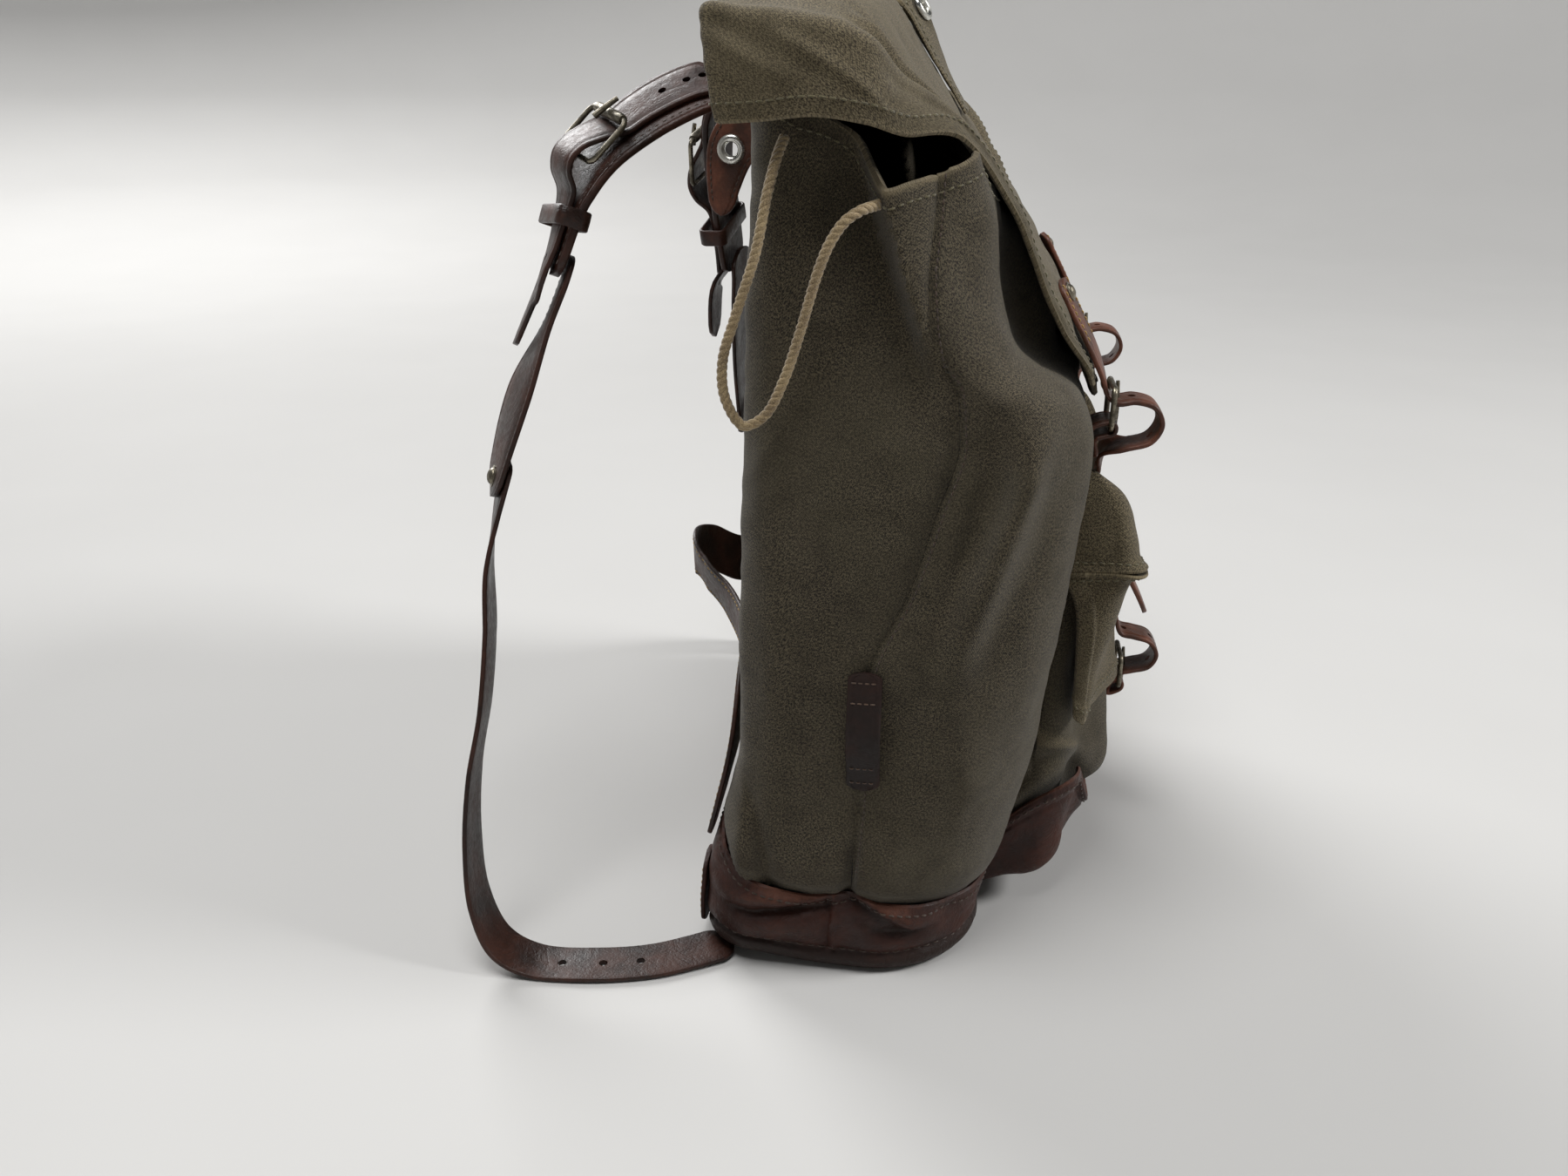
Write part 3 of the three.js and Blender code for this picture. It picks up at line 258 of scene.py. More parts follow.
class Wire:
    """One output of a shader node; sums and products of wires add Math nodes."""

    def __init__(self, graph: "Graph", socket: bpy.types.NodeSocket) -> None:
        """Hold a socket of a graph."""
        self.graph = graph
        self.socket = socket

    def __add__(self, other: "Wire | float") -> "Wire":
        """Add."""
        return self.graph.math("ADD", self, other)

    __radd__ = __add__

    def __mul__(self, other: "Wire | float") -> "Wire":
        """Multiply."""
        return self.graph.math("MULTIPLY", self, other)

    __rmul__ = __mul__

    def __sub__(self, other: "Wire | float") -> "Wire":
        """Take other away."""
        return self.graph.math("SUBTRACT", self, other)

    def __rsub__(self, other: float) -> "Wire":
        """Take this away from other."""
        return self.graph.math("SUBTRACT", other, self)

    def __pow__(self, other: float) -> "Wire":
        """Raise to a power."""
        return self.graph.math("POWER", self, other)

    def __abs__(self) -> "Wire":
        """Drop the sign."""
        return self.graph.math("ABSOLUTE", self, 0.0)

    def sine(self) -> "Wire":
        """The sine."""
        return self.graph.math("SINE", self, 0.0)

    def ease(self, low: float, high: float, start: float = 0.0, end: float = 1.0) -> "Wire":
        """Go softly from start at low to end at high, and stay there."""
        inputs = {"Value": self, "From Min": low, "From Max": high, "To Min": start, "To Max": end}
        return self.graph.wire("ShaderNodeMapRange", {"interpolation_type": "SMOOTHSTEP"}, inputs)


class Graph:
    """The node tree of one finish."""

    def __init__(self, name: str) -> None:
        """Start an empty material."""
        self.material = bpy.data.materials.new(name)
        self.material.use_nodes = True
        self.tree = self.material.node_tree
        self.tree.nodes.clear()

    def node(self, kind: str, settings: dict | None = None, inputs: dict | None = None) -> bpy.types.Node:
        """Add a node.

        Args:
            kind: The node's type.
            settings: Properties, set before the sockets.
            inputs: Values or wires for its sockets, by name or number.

        Returns:
            The new node.
        """
        node = self.tree.nodes.new(kind)
        for name, value in (settings or {}).items():
            setattr(node, name, value)
        for key, value in (inputs or {}).items():
            if isinstance(value, Wire):
                self.tree.links.new(value.socket, node.inputs[key])
            else:
                node.inputs[key].default_value = value
        return node

    def wire(
        self, kind: str, settings: dict | None = None, inputs: dict | None = None, out: int | str = 0
    ) -> Wire:
        """Add a node and take one of its outputs."""
        return Wire(self, self.node(kind, settings, inputs).outputs[out])

    def math(self, operation: str, a: Wire | float, b: Wire | float) -> Wire:
        """Work out one sum of two values."""
        return self.wire("ShaderNodeMath", {"operation": operation}, {0: a, 1: b})

    def blend(self, share: Wire | float, a: Wire | tuple, b: Wire | tuple) -> Wire:
        """Mix two colours by a share."""
        settings = {"data_type": "RGBA", "blend_type": "MIX", "clamp_factor": True}
        return self.wire("ShaderNodeMix", settings, {0: share, 6: a, 7: b}, 2)

    def place(self) -> Wire:
        """The place on the object, in metres."""
        return self.wire("ShaderNodeTexCoord", out="Object")

    def cloth(self) -> Wire:
        """The place on the cloth's own threads, in metres."""
        return self.wire("ShaderNodeUVMap", {"uv_map": "threads"})

    def parts(self, vector: Wire) -> tuple[Wire, Wire, Wire]:
        """The three numbers of a vector."""
        node = self.node("ShaderNodeSeparateXYZ", inputs={0: vector})
        return tuple(Wire(self, node.outputs[i]) for i in range(3))

    def stretch(self, vector: Wire, by: Place) -> Wire:
        """A vector with each of its numbers multiplied."""
        return self.wire("ShaderNodeVectorMath", {"operation": "MULTIPLY"}, {0: vector, 1: by})

    def noise(self, vector: Wire, size_mm: float, detail: float, rough: float, warp: float = 0.0) -> Wire:
        """Cloudy values of about 0.3 to 0.7 with blots of a size in millimetres."""
        inputs = {"Vector": vector, "Scale": 1 / (size_mm * MM), "Detail": detail, "Roughness": rough}
        inputs["Distortion"] = warp
        return self.wire("ShaderNodeTexNoise", {"noise_dimensions": "3D"}, inputs)

    def cells(self, vector: Wire, size_mm: float) -> Wire:
        """Distance to the middle of rounded cells of a size in millimetres."""
        settings = {"feature": "SMOOTH_F1"}
        inputs = {"Vector": vector, "Scale": 1 / (size_mm * MM), "Smoothness": 0.35}
        return self.wire("ShaderNodeTexVoronoi", settings, inputs, "Distance")

    def mark(self, name: str) -> Wire:
        """A value kept on the piece's own points."""
        return self.wire("ShaderNodeAttribute", {"attribute_name": name}, out="Fac")

    def bump(self, height: Wire, strength: float, depth_mm: float) -> Wire:
        """A normal that is raised by a height."""
        inputs = {"Strength": strength, "Distance": depth_mm * MM, "Height": height}
        return self.wire("ShaderNodeBump", inputs=inputs)

    def surface(self, sockets: dict) -> bpy.types.Material:
        """End the tree in one shader and give the material."""
        shader = self.node("ShaderNodeBsdfPrincipled", inputs=sockets)
        self.node("ShaderNodeOutputMaterial", inputs={"Surface": Wire(self, shader.outputs[0])})
        return self.material


@dataclass(frozen=True)
class CanvasFinish:
    """Canvas of pale and dark yarns, faded in patches, worn pale on its folds, darkened by dust and painted
    shade.
    """

    name: str = "salt_and_pepper_canvas"
    # The default yarn colours are the darker copy of the canvas, on the sack and the pocket body: painted
    # shade for their sides, beside the lighter copy on the lid and the flap.
    pale: str = "5f5644"
    dark: str = "1f1b15"
    worn: str = "7d7159"
    faded: str = "494334"
    # Colour that the canvas darkens towards for dust and for painted shade.
    soil: str = "332b22"
    yarn_mm: float = 1.1

    def material(self) -> bpy.types.Material:
        """Mix the yarns along the cloth's threads."""
        g = Graph(self.name)
        cloth, place = g.cloth(), g.place()
        u, v, _ = g.parts(cloth)
        turns = 2 * math.pi / (self.yarn_mm * MM)
        weave = (u * turns).sine() * (v * turns).sine()
        fleck = g.noise(g.stretch(cloth, (1.0, 0.6, 1.0)), 0.68, 2.0, 0.6)
        weft = g.noise(g.stretch(cloth, (0.5, 1.0, 1.0)), 0.75, 2.0, 0.6)
        patch = g.noise(place, 70, 4.0, 0.6)
        cloud = g.noise(place, 16, 3.0, 0.6)
        yarn = (fleck * 0.62 + weft * 0.38 + weave * 0.035).ease(0.4, 0.62)
        colour = g.blend(yarn, tint(self.dark), tint(self.pale))
        colour = g.blend(patch.ease(0.4, 0.68) * 0.42, colour, tint(self.faded))
        colour = g.blend(cloud.ease(0.45, 0.75) * 0.3, colour, tint(self.dark))
        rub = (g.mark("wear") * 1.25 + fleck * 0.9 + cloud * 0.35 - 1.0).ease(0.0, 0.9)
        colour = g.blend(rub * 0.75, colour, tint(self.worn))
        # Darken where the points are marked, for dust at the foot and for painted shade.
        soil = (g.mark("soil") + cloud * 0.6 - 0.5).ease(0.0, 0.8)
        colour = g.blend(soil * 0.7, colour, tint(self.soil))
        height = weave * 0.5 + fleck * 0.5 + weft * 0.3
        sockets = {
            "Base Color": colour,
            "Roughness": cloud.ease(0.3, 0.7, 0.86, 0.97),
            "Sheen Weight": 0.1,
            "Sheen Roughness": 0.55,
            "Specular IOR Level": 0.22,
            "Normal": g.bump(height, 0.5, 0.35),
        }
        return g.surface(sockets)


@dataclass(frozen=True)
class LeatherFinish:
    """Leather with a fine grain, creases, scuffs and rubbed edges."""

    name: str
    skin: str
    deep: str
    worn: str
    smooth_to_rough: Pair = (0.38, 0.66)
    grain_mm: float = 1.5
    crease_mm: float = 17.0
    creasing: float = 0.6
    coat: float = 0.0
    # Colour that the leather darkens towards for dirt and for painted shade.
    soil: str = "1d130e"

    def material(self) -> bpy.types.Material:
        """Grain, creases and wear over the hide's own colours, then darkening for dirt and painted shade."""
        g = Graph(self.name)
        place = g.place()
        grain = g.cells(place, self.grain_mm)
        mottle = g.noise(place, 26, 5.0, 0.62)
        speck = g.noise(place, 3.2, 4.0, 0.65)
        veins = g.noise(place, self.crease_mm, 5.0, 0.6, 1.4)
        crease = (1.0 - abs(veins * 2.0 - 1.0)) ** 9.0
        colour = g.blend(mottle.ease(0.34, 0.68), tint(self.deep), tint(self.skin))
        colour = g.blend(crease * 0.55 * self.creasing, colour, tint(self.deep))
        rub = (g.mark("wear") * 1.2 + speck * 1.0 + mottle * 0.5 - 1.15).ease(0.0, 0.8)
        colour = g.blend(rub * 0.8, colour, tint(self.worn))
        # Darken where the points are marked, for dirt and for painted shade.
        soil = (g.mark("soil") + speck * 0.5 - 0.4).ease(0.0, 0.75)
        colour = g.blend(soil * 0.8, colour, tint(self.soil))
        low, high = self.smooth_to_rough
        height = grain * -0.3 + crease * -0.8 * self.creasing + speck * 0.35
        sockets = {
            "Base Color": colour,
            "Roughness": (speck * 0.5 + mottle * 0.5 + rub * 0.2).ease(0.34, 0.72, low, high),
            "Specular IOR Level": 0.3,
            "Normal": g.bump(height, 0.5, 0.6),
        }
        if self.coat:
            sockets |= {"Coat Weight": self.coat, "Coat Roughness": 0.32}
        return g.surface(sockets)


@dataclass(frozen=True)
class MetalFinish:
    """Metal with dull patches and fine scratches."""

    name: str
    clean: str
    dull: str
    smooth_to_rough: Pair
    tarnish: float

    def material(self) -> bpy.types.Material:
        """Clean metal with tarnish in clouds."""
        g = Graph(self.name)
        place = g.place()
        cloud = g.noise(place, 9, 5.0, 0.65)
        scratch = g.noise(g.stretch(place, (1.0, 0.25, 1.0)), 0.9, 2.0, 0.6)
        dull = (cloud + scratch * 0.3).ease(0.5, 0.82)
        low, high = self.smooth_to_rough
        sockets = {
            "Base Color": g.blend(dull * self.tarnish, tint(self.clean), tint(self.dull)),
            "Metallic": dull.ease(0.0, 1.0, 1.0, 1.0 - 0.35 * self.tarnish),
            "Roughness": dull.ease(0.0, 1.0, low, high),
            "Normal": g.bump(scratch + cloud, 0.12, 0.3),
        }
        return g.surface(sockets)


@dataclass(frozen=True)
class YarnFinish:
    """Twisted cotton: cord or sewing thread."""

    name: str
    pale: str
    dark: str
    blot_mm: float

    def material(self) -> bpy.types.Material:
        """Soft uneven yarn."""
        g = Graph(self.name)
        place = g.place()
        fibre = g.noise(place, self.blot_mm * 0.25, 3.0, 0.7)
        stain = g.noise(place, self.blot_mm * 6, 3.0, 0.6)
        colour = g.blend((fibre * 0.7 + stain * 0.3).ease(0.35, 0.65), tint(self.dark), tint(self.pale))
        sockets = {
            "Base Color": colour,
            "Roughness": stain.ease(0.3, 0.7, 0.82, 0.95),
            "Sheen Weight": 0.35,
            "Normal": g.bump(fibre, 0.6, 0.4),
        }
        return g.surface(sockets)


@dataclass(frozen=True)
class FloorFinish:
    """A pale matt table top that grows lighter where it rises, far off."""

    pale: str = "c6c5c3"
    shade: str = "c1c0be"
    no_glow: str = "000000"
    glow: float = 0.24
    glow_from: float = 1.4
    glow_full: float = 4.2

    def material(self) -> bpy.types.Material:
        """A plain colour with a slight unevenness, and a faint glow far off."""
        g = Graph("pale_floor")
        place = g.place()
        x, y, _ = g.parts(place)
        far = ((x * x + y * y) ** 0.5).ease(self.glow_from, self.glow_full)
        colour = g.blend(g.noise(place, 240, 2.0, 0.5), tint(self.shade), tint(self.pale))
        sockets = {
            "Base Color": colour,
            "Roughness": 0.8,
            "Specular IOR Level": 0.1,
            "Emission Color": g.blend(far, tint(self.no_glow), tint(self.pale)),
            "Emission Strength": self.glow,
        }
        return g.surface(sockets)


class Finish(Enum):
    """The finishes of the rucksack's pieces, each paired with a material slot of the imported record."""

    CANVAS = Slot.CANVAS, CanvasFinish()
    # A lighter copy of the canvas for the lid, its sleeve and the pocket flap: painted light for these
    # up-facing parts, which stand in more light than the sack's sides.
    SUNNED = Slot.CANVAS, CanvasFinish("sunned_canvas", "756a52", "2b251b", "8f8165", "5c533f")
    BASE = Slot.BASE, LeatherFinish(
        "red_brown_base_leather", "432319", "2a150f", "5d392b", (0.42, 0.7), 1.7, 15.0, 0.9
    )
    STRAP = Slot.STRAP, LeatherFinish(
        "dark_strap_leather", "40241a", "1d100b", "5c392a", (0.34, 0.6), 1.2, 20.0, 0.55, 0.08
    )
    TAN = Slot.TAN, LeatherFinish(
        "tan_strap_leather", "6d4130", "3c2318", "946a50", (0.34, 0.58), 1.2, 16.0, 0.6, 0.08
    )
    TAB = Slot.STRAP, LeatherFinish(
        "dull_tab_leather", "2f1c16", "180e0a", "412a20", (0.55, 0.8), 1.2, 20.0, 0.5
    )
    AGED = Slot.AGED, MetalFinish("aged_buckle_metal", "8f8878", "403a2f", (0.26, 0.55), 0.9)
    BRIGHT = Slot.BRIGHT, MetalFinish("bright_eyelet_metal", "dcdcd6", "8f8a7d", (0.16, 0.4), 0.5)
    COTTON = Slot.COTTON, YarnFinish("cotton_cord", "a8946f", "6b583e", 2.4)
    OLIVE = Slot.COTTON, YarnFinish("olive_thread", "6f6748", "3c3726", 1.2)
    DARK = Slot.COTTON, YarnFinish("dark_thread", "4a3626", "241811", 1.2)
    YELLOW = Slot.COTTON, YarnFinish("yellow_thread", "b8964c", "7a5c28", 1.2)
    BROWN = Slot.COTTON, YarnFinish("brown_thread", "6a5140", "3c2c20", 1.2)


# Shapes


def stand(name: str, data: bpy.types.ID) -> bpy.types.Object:
    """Put an object in the scene."""
    made = bpy.data.objects.new(name, data)
    bpy.context.collection.objects.link(made)
    return made


@dataclass
class Frames:
    """Places along a strap with the directions along it, across it and out of it, and its width."""

    p: Array
    t: Array
    a: Array
    n: Array
    width: Array

    def point(self, across: Values, out: Values) -> Array:
        """Places beside the strap's middle line."""
        return self.p + self.a * np.reshape(across, (-1, 1)) + self.n * np.reshape(out, (-1, 1))

    def part(self, first: int, last: int) -> "Frames":
        """The frames from one number up to another."""
        return Frames(*(values[first:last] for values in (self.p, self.t, self.a, self.n, self.width)))


class Route:
    """A strap's middle line through rows of places, with the way that its width lies."""

    def __init__(self, rows: Table, hint: Place = (0, 1, 0), outward: Place | None = None) -> None:
        """Keep the rows, and either the way across or the way outwards."""
        self.rows = rows
        self.hint = np.array(hint, float)
        self.outward = None if outward is None else np.array(outward, float)
        self.places = np.stack([rows[c] for c in "xyz"], axis=1)

    def line(self, shares: Array) -> Array:
        """Points at shares of the row numbers, on a curve through the rows' places."""
        k = self.places
        pads = np.vstack([2 * k[0] - k[1], k, 2 * k[-1] - k[-2]])
        number = np.clip(shares, 0, 1) * (len(k) - 1)
        i = np.minimum(number.astype(int), len(k) - 2)
        w = (number - i)[:, None]
        p0, p1, p2, p3 = (pads[i + step] for step in range(4))
        gap = lambda a, b: np.maximum(np.linalg.norm(b - a, axis=1, keepdims=True), 1e-6) ** 0.5
        d0, d1, d2 = gap(p0, p1), gap(p1, p2), gap(p2, p3)
        start = ((p1 - p0) / d0 - (p2 - p0) / (d0 + d1) + (p2 - p1) / d1) * d1
        end = ((p2 - p1) / d1 - (p3 - p1) / (d1 + d2) + (p3 - p2) / d2) * d1
        cubic = 2 * p1 - 2 * p2 + start + end
        square = -3 * p1 + 3 * p2 - 2 * start - end
        return p1 + start * w + square * w**2 + cubic * w**3

    def at(self, shares: Array | Sequence[float]) -> Frames:
        """Frames at shares of the route."""
        shares = np.asarray(shares, float)
        step = 1e-4
        t = unit(self.line(shares + step) - self.line(shares - step))
        row = shares * (len(self.rows) - 1)
        if self.outward is not None:
            a = unit(np.cross(np.broadcast_to(self.outward, t.shape), t))
        else:
            wanted = np.broadcast_to(self.hint, t.shape)
            if "ax" in self.rows.columns:
                wanted = np.stack([self.rows.read(c, row) for c in ("ax", "ay", "az")], axis=1)
            a = unit(wanted - t * np.sum(wanted * t, axis=1, keepdims=True))
        if "lean" in self.rows.columns:
            angle = np.radians(-self.rows.read("lean", row))[:, None]
            a = a * np.cos(angle) + np.cross(t, a) * np.sin(angle)
        return Frames(self.line(shares), t, a, unit(np.cross(t, a)), self.rows.read("width", row))


def lengths(points: Array) -> Array:
    """How far along a line each of its points lies."""
    return np.concatenate([[0.0], np.cumsum(np.linalg.norm(np.diff(points, axis=0), axis=1))])


def grid_normals(grid: Array, centre: Place, ring: bool = False) -> Array:
    """Directions out of a grid of points, away from a centre."""
    along = np.gradient(grid, axis=0)
    if ring:
        across = np.roll(grid, -1, axis=1) - np.roll(grid, 1, axis=1)
    else:
        across = np.gradient(grid, axis=1)
    n = unit(np.cross(across, along))
    return n * np.sign(np.sum(n * (grid - np.array(centre, float))))


def around(a: Array, b: Array, sides: int) -> Array:
    """Directions all the way round, from a towards b and on."""
    turn = np.linspace(0, 2 * math.pi, sides, endpoint=False)[:, None]
    return a[..., None, :] * np.cos(turn) + b[..., None, :] * np.sin(turn)


class Form:
    """Points and faces of one piece in millimetres, gathered before they become a mesh."""

    def __init__(self) -> None:
        """Start with nothing."""
        self.points: list[Array] = []
        self.faces: list[list[int]] = []
        self.marks: dict[str, list[Array]] = {"wear": [], "soil": [], "u": [], "v": []}
        self.count = 0

    def add(self, points: Array, quads: Array, caps: Sequence[Sequence[int]] = (), **marks: Array) -> None:
        """Add a closed shape, turned outwards.

        Args:
            points: Its points.
            quads: Its four-sided faces, as point numbers.
            caps: Its other faces.
            marks: Wear, dirt and painted shade, and cloth places of the points.
        """
        loops = [np.asarray(quads, int)] + [np.asarray([cap], int) for cap in caps]
        volume = 0.0
        for faces in loops:
            for k in range(1, faces.shape[1] - 1):
                corners = points[faces[:, 0]], points[faces[:, k]], points[faces[:, k + 1]]
                volume += np.sum(corners[0] * np.cross(corners[1], corners[2]))
        for faces in loops:
            turned = faces if volume > 0 else faces[:, ::-1]
            self.faces.extend((turned + self.count).tolist())
        self.points.append(points)
        for name, kept in self.marks.items():
            kept.append(np.broadcast_to(marks.get(name, 0.0), (len(points),)).astype(float))
        self.count += len(points)

    def sheet(
        self, grid: Array, thickness: Values, centre: Place,
        wear: Values = 0.0, soil: Values = 0.0, cup: bool = False,
    ) -> Array:
        """Add a sheet with rounded edges, its outer skin on a grid.

        Args:
            grid: Rows and columns of points.
            thickness: Its thickness, one for all or one for each point.
            centre: A point on its inner side.
            wear: How worn each point is. The inner side is worn less.
            soil: How far each point is darkened, for dirt and for painted shade.
            cup: Whether the last column joins the first and the first row is filled in.

        Returns:
            The directions out of the grid.
        """
        rows, columns = shape = grid.shape[:2]
        total = rows * columns
        out = grid_normals(grid, centre, cup)
        thick = np.broadcast_to(thickness, shape).reshape(-1, 1)
        outer = grid.reshape(-1, 3)
        skins = np.concatenate([outer, outer - out.reshape(-1, 3) * thick])
        number = np.arange(total).reshape(shape)
        wrapped = np.concatenate([number, number[:, :1]], axis=1) if cup else number
        corner = lambda i, j: wrapped[i : rows - 1 + i, j : wrapped.shape[1] - 1 + j].ravel()
        skin = np.stack([corner(0, 0), corner(0, 1), corner(1, 1), corner(1, 0)], axis=1)
        edges = [number[0, ::-1], number[1:, 0], number[-1, 1:], number[-2:0:-1, -1]]
        border = number[-1] if cup else np.concatenate(edges)
        row, column = np.indices(shape)
        near_column = column if cup else np.clip(column, 1, columns - 2)
        outwards = unit(grid - grid[np.clip(row, 1, rows - 2), near_column]).reshape(-1, 3)
        middle = (skins[border] + skins[border + total]) / 2 + outwards[border] * thick[border] * 0.4
        rim = 2 * total + np.arange(len(border))
        turn = lambda numbers: np.roll(numbers, -1)
        over = np.stack([border, turn(border), turn(rim), rim], axis=1)
        under = np.stack([rim, turn(rim), turn(border) + total, border + total], axis=1)
        caps = [number[0, ::-1].tolist(), (number[0] + total).tolist()] if cup else []
        steps = [np.cumsum(np.linalg.norm(np.diff(grid, axis=k), axis=2), axis=k) for k in (1, 0)]
        u = np.concatenate([np.zeros((rows, 1)), steps[0]], axis=1)
        v = np.concatenate([np.zeros((1, columns)), steps[1]])
        marks = np.stack([np.broadcast_to(mark, shape).ravel() for mark in (wear, soil, u, v)])
        inner_marks = marks * np.array([[0.4], [1.0], [1.0], [1.0]])
        marks = np.concatenate([marks, inner_marks, marks[:, border]], axis=1)
        quads = np.concatenate([skin, skin[:, ::-1] + total, over, under])
        self.add(np.concatenate([skins, middle]), quads, caps, **dict(zip(self.marks, marks)))
        return out

    def tube(self, sections: Array, closed: bool = False, wear: Values = 0.0) -> None:
        """Add a bar through a row of closed sections.

        Args:
            sections: The sections' points, in order along the bar.
            closed: Whether the last section joins the first.
            wear: How worn each point is.
        """
        count, sides = sections.shape[:2]
        number = np.arange(count * sides).reshape(count, sides)
        this, following = (number, np.roll(number, -1, axis=0)) if closed else (number[:-1], number[1:])
        beside = lambda numbers: np.roll(numbers, -1, axis=1)
        quads = np.stack([this, beside(this), beside(following), following], axis=2).reshape(-1, 4)
        caps = [] if closed else [number[0, ::-1].tolist(), number[-1].tolist()]
        self.add(sections.reshape(-1, 3), quads, caps, wear=np.broadcast_to(wear, (count, sides)).ravel())

    def wire(self, path: Array, radius: Values, sides: int = 12, closed: bool = False) -> None:
        """Add a round bar along a path."""
        if closed:
            t = unit(np.roll(path, -1, axis=0) - np.roll(path, 1, axis=0))
        else:
            t = unit(np.gradient(path, axis=0))
        spread = np.linalg.svd(path - path.mean(axis=0))[2]
        a = np.broadcast_to(spread[2], path.shape)
        a = unit(a - t * np.sum(a * t, axis=1, keepdims=True))
        ring = around(a, np.cross(t, a), sides)
        self.tube(path[:, None] + ring * np.reshape(radius, (-1, 1, 1)), closed)

    def band(self, frames: Frames, thickness: float, crown: float, tips: Pair, groove: float) -> None:
        """Add a leather strap with rounded edges and a pressed line beside each edge.

        Args:
            frames: Places along it.
            thickness: Its thickness.
            crown: How far its edges bend back from its middle.
            tips: Length of the rounded end at its start and at its end, or 0 where it is cut square.
            groove: Depth of the pressed lines.
        """
        along = lengths(frames.p)
        narrowing = np.ones(len(along))
        for tip, distance in zip(tips, (along, along[-1] - along)):
            if tip:
                rest = np.clip(1 - distance / tip, 0, 1)
                narrowing = np.minimum(narrowing, np.sqrt(np.maximum(1 - rest**2, 0.004)))
        half = (frames.width * narrowing / 2)[:, None]
        h, r = thickness / 2, thickness * 0.36
        scale = np.minimum(1.0, half / 7)
        arc = np.radians([0, 30, 60, 90])
        edge_in, edge_up = r * (1 - np.cos(arc)), h - r + r * np.sin(arc)
        top_in = np.concatenate([edge_in, [2.2, 2.9, 3.6]])
        top_up = np.concatenate([edge_up, [h, h - groove, h]])
        left = -half + top_in * scale
        across = [left, half * np.array([-0.45, 0.0, 0.45]), -left[:, ::-1]]
        up = [top_up, np.full(3, h), top_up[::-1]]
        under = half - edge_in * scale
        across += [under, half * np.array([0.45, 0.0, -0.45]), -under[:, ::-1]]
        up += [-edge_up, np.full(3, -h), -edge_up[::-1]]
        across = np.concatenate(across, axis=1)
        up = np.broadcast_to(np.concatenate(up), across.shape)
        out = up - crown * (across / np.maximum(half, 1e-3)) ** 2
        sections = frames.p[:, None] + frames.a[:, None] * across[..., None]
        sections = sections + frames.n[:, None] * out[..., None]
        rub = np.zeros(across.shape[1])
        rub[[2, 3, 4, 7, 8, 9, 12, 13, 14]] = 0.35
        self.tube(sections, wear=rub)

    def stitches(self, path: Array, out: Array, kind: Stitch = Stitch.CANVAS) -> None:
        """Add a row of stitches along a path that lies on a surface.

        Args:
            path: Points of the row.
            out: The direction out of the surface at each point.
            kind: The kind of stitching.
        """
        pitch, length, radius = kind.value
        along = lengths(path)
        middles = np.arange(pitch / 2, along[-1], pitch)
        read = lambda values, at: np.stack([np.interp(at, along, values[:, k]) for k in range(3)], axis=1)
        stations = np.array([-0.5, -0.3, 0.0, 0.3, 0.5]) * length
        heights = np.array([-0.7, 0.2, 0.55, 0.2, -0.7]) * radius
        sizes = np.array([0.45, 0.95, 1.0, 0.95, 0.45]) * radius
        n = unit(read(out, middles))
        t = unit(read(path, middles + 0.4) - read(path, middles - 0.4))
        ring = around(n, np.cross(t, n), 6)[:, None]
        centre = read(path, middles)[:, None] + t[:, None] * stations[:, None] + n[:, None] * heights[:, None]
        sections = centre[:, :, None] + ring * sizes[:, None, None]
        for section in sections:
            self.tube(section)

    def edge_stitches(self, frames: Frames, inset: float, out: float, kind: Stitch) -> None:
        """Add stitches beside both edges of a strap, so far in from each edge and so far out."""
        for sign in (-1, 1):
            self.stitches(frames.point(sign * (frames.width / 2 - inset), out), frames.n, kind)

    def lathe(self, place: Array, axis: Array, profile: Sequence[Pair], sides: int) -> None:
        """Add a closed ring or a knob turned about an axis.

        Args:
            place: Where the axis starts.
            axis: Its direction.
            profile: Distances from the axis and heights along it, round a ring or up a knob.
            sides: Faces round the axis.
        """
        axis = unit(np.asarray(axis, float))
        a = unit(np.cross(axis, [0.3, 0.9, 0.2]))
        size = np.array(profile, float)
        ring = around(a, np.cross(axis, a), sides)[:, None]
        sections = place + ring * size[:, 0, None] + axis * size[:, 1, None]
        if size[0, 0] > 1e-6:
            self.tube(sections, closed=True)
        else:
            self.tube(sections[:, 1:].transpose(1, 0, 2))

    def build(self, name: str, material: bpy.types.Material) -> bpy.types.Object:
        """Make the piece's object.

        Args:
            name: The piece's name.
            material: Its finish.

        Returns:
            The new object.
        """
        mesh = bpy.data.meshes.new(name)
        mesh.from_pydata((np.concatenate(self.points) * MM).tolist(), [], self.faces)
        for mark in ("wear", "soil"):
            kept = mesh.attributes.new(mark, "FLOAT", "POINT")
            kept.data.foreach_set("value", np.concatenate(self.marks[mark]).astype(np.float32))
        corners = np.empty(len(mesh.loops), np.int32)
        mesh.loops.foreach_get("vertex_index", corners)
        places = np.stack([np.concatenate(self.marks["u"]), np.concatenate(self.marks["v"])], axis=1) * MM
        threads = mesh.uv_layers.new(name="threads")
        threads.data.foreach_set("uv", places[corners].astype(np.float32).ravel())
        mesh.materials.append(material)
        mesh.shade_smooth()
        mesh.set_sharp_from_angle(angle=math.radians(CREASE_DEGREES))
        return stand(name, mesh)


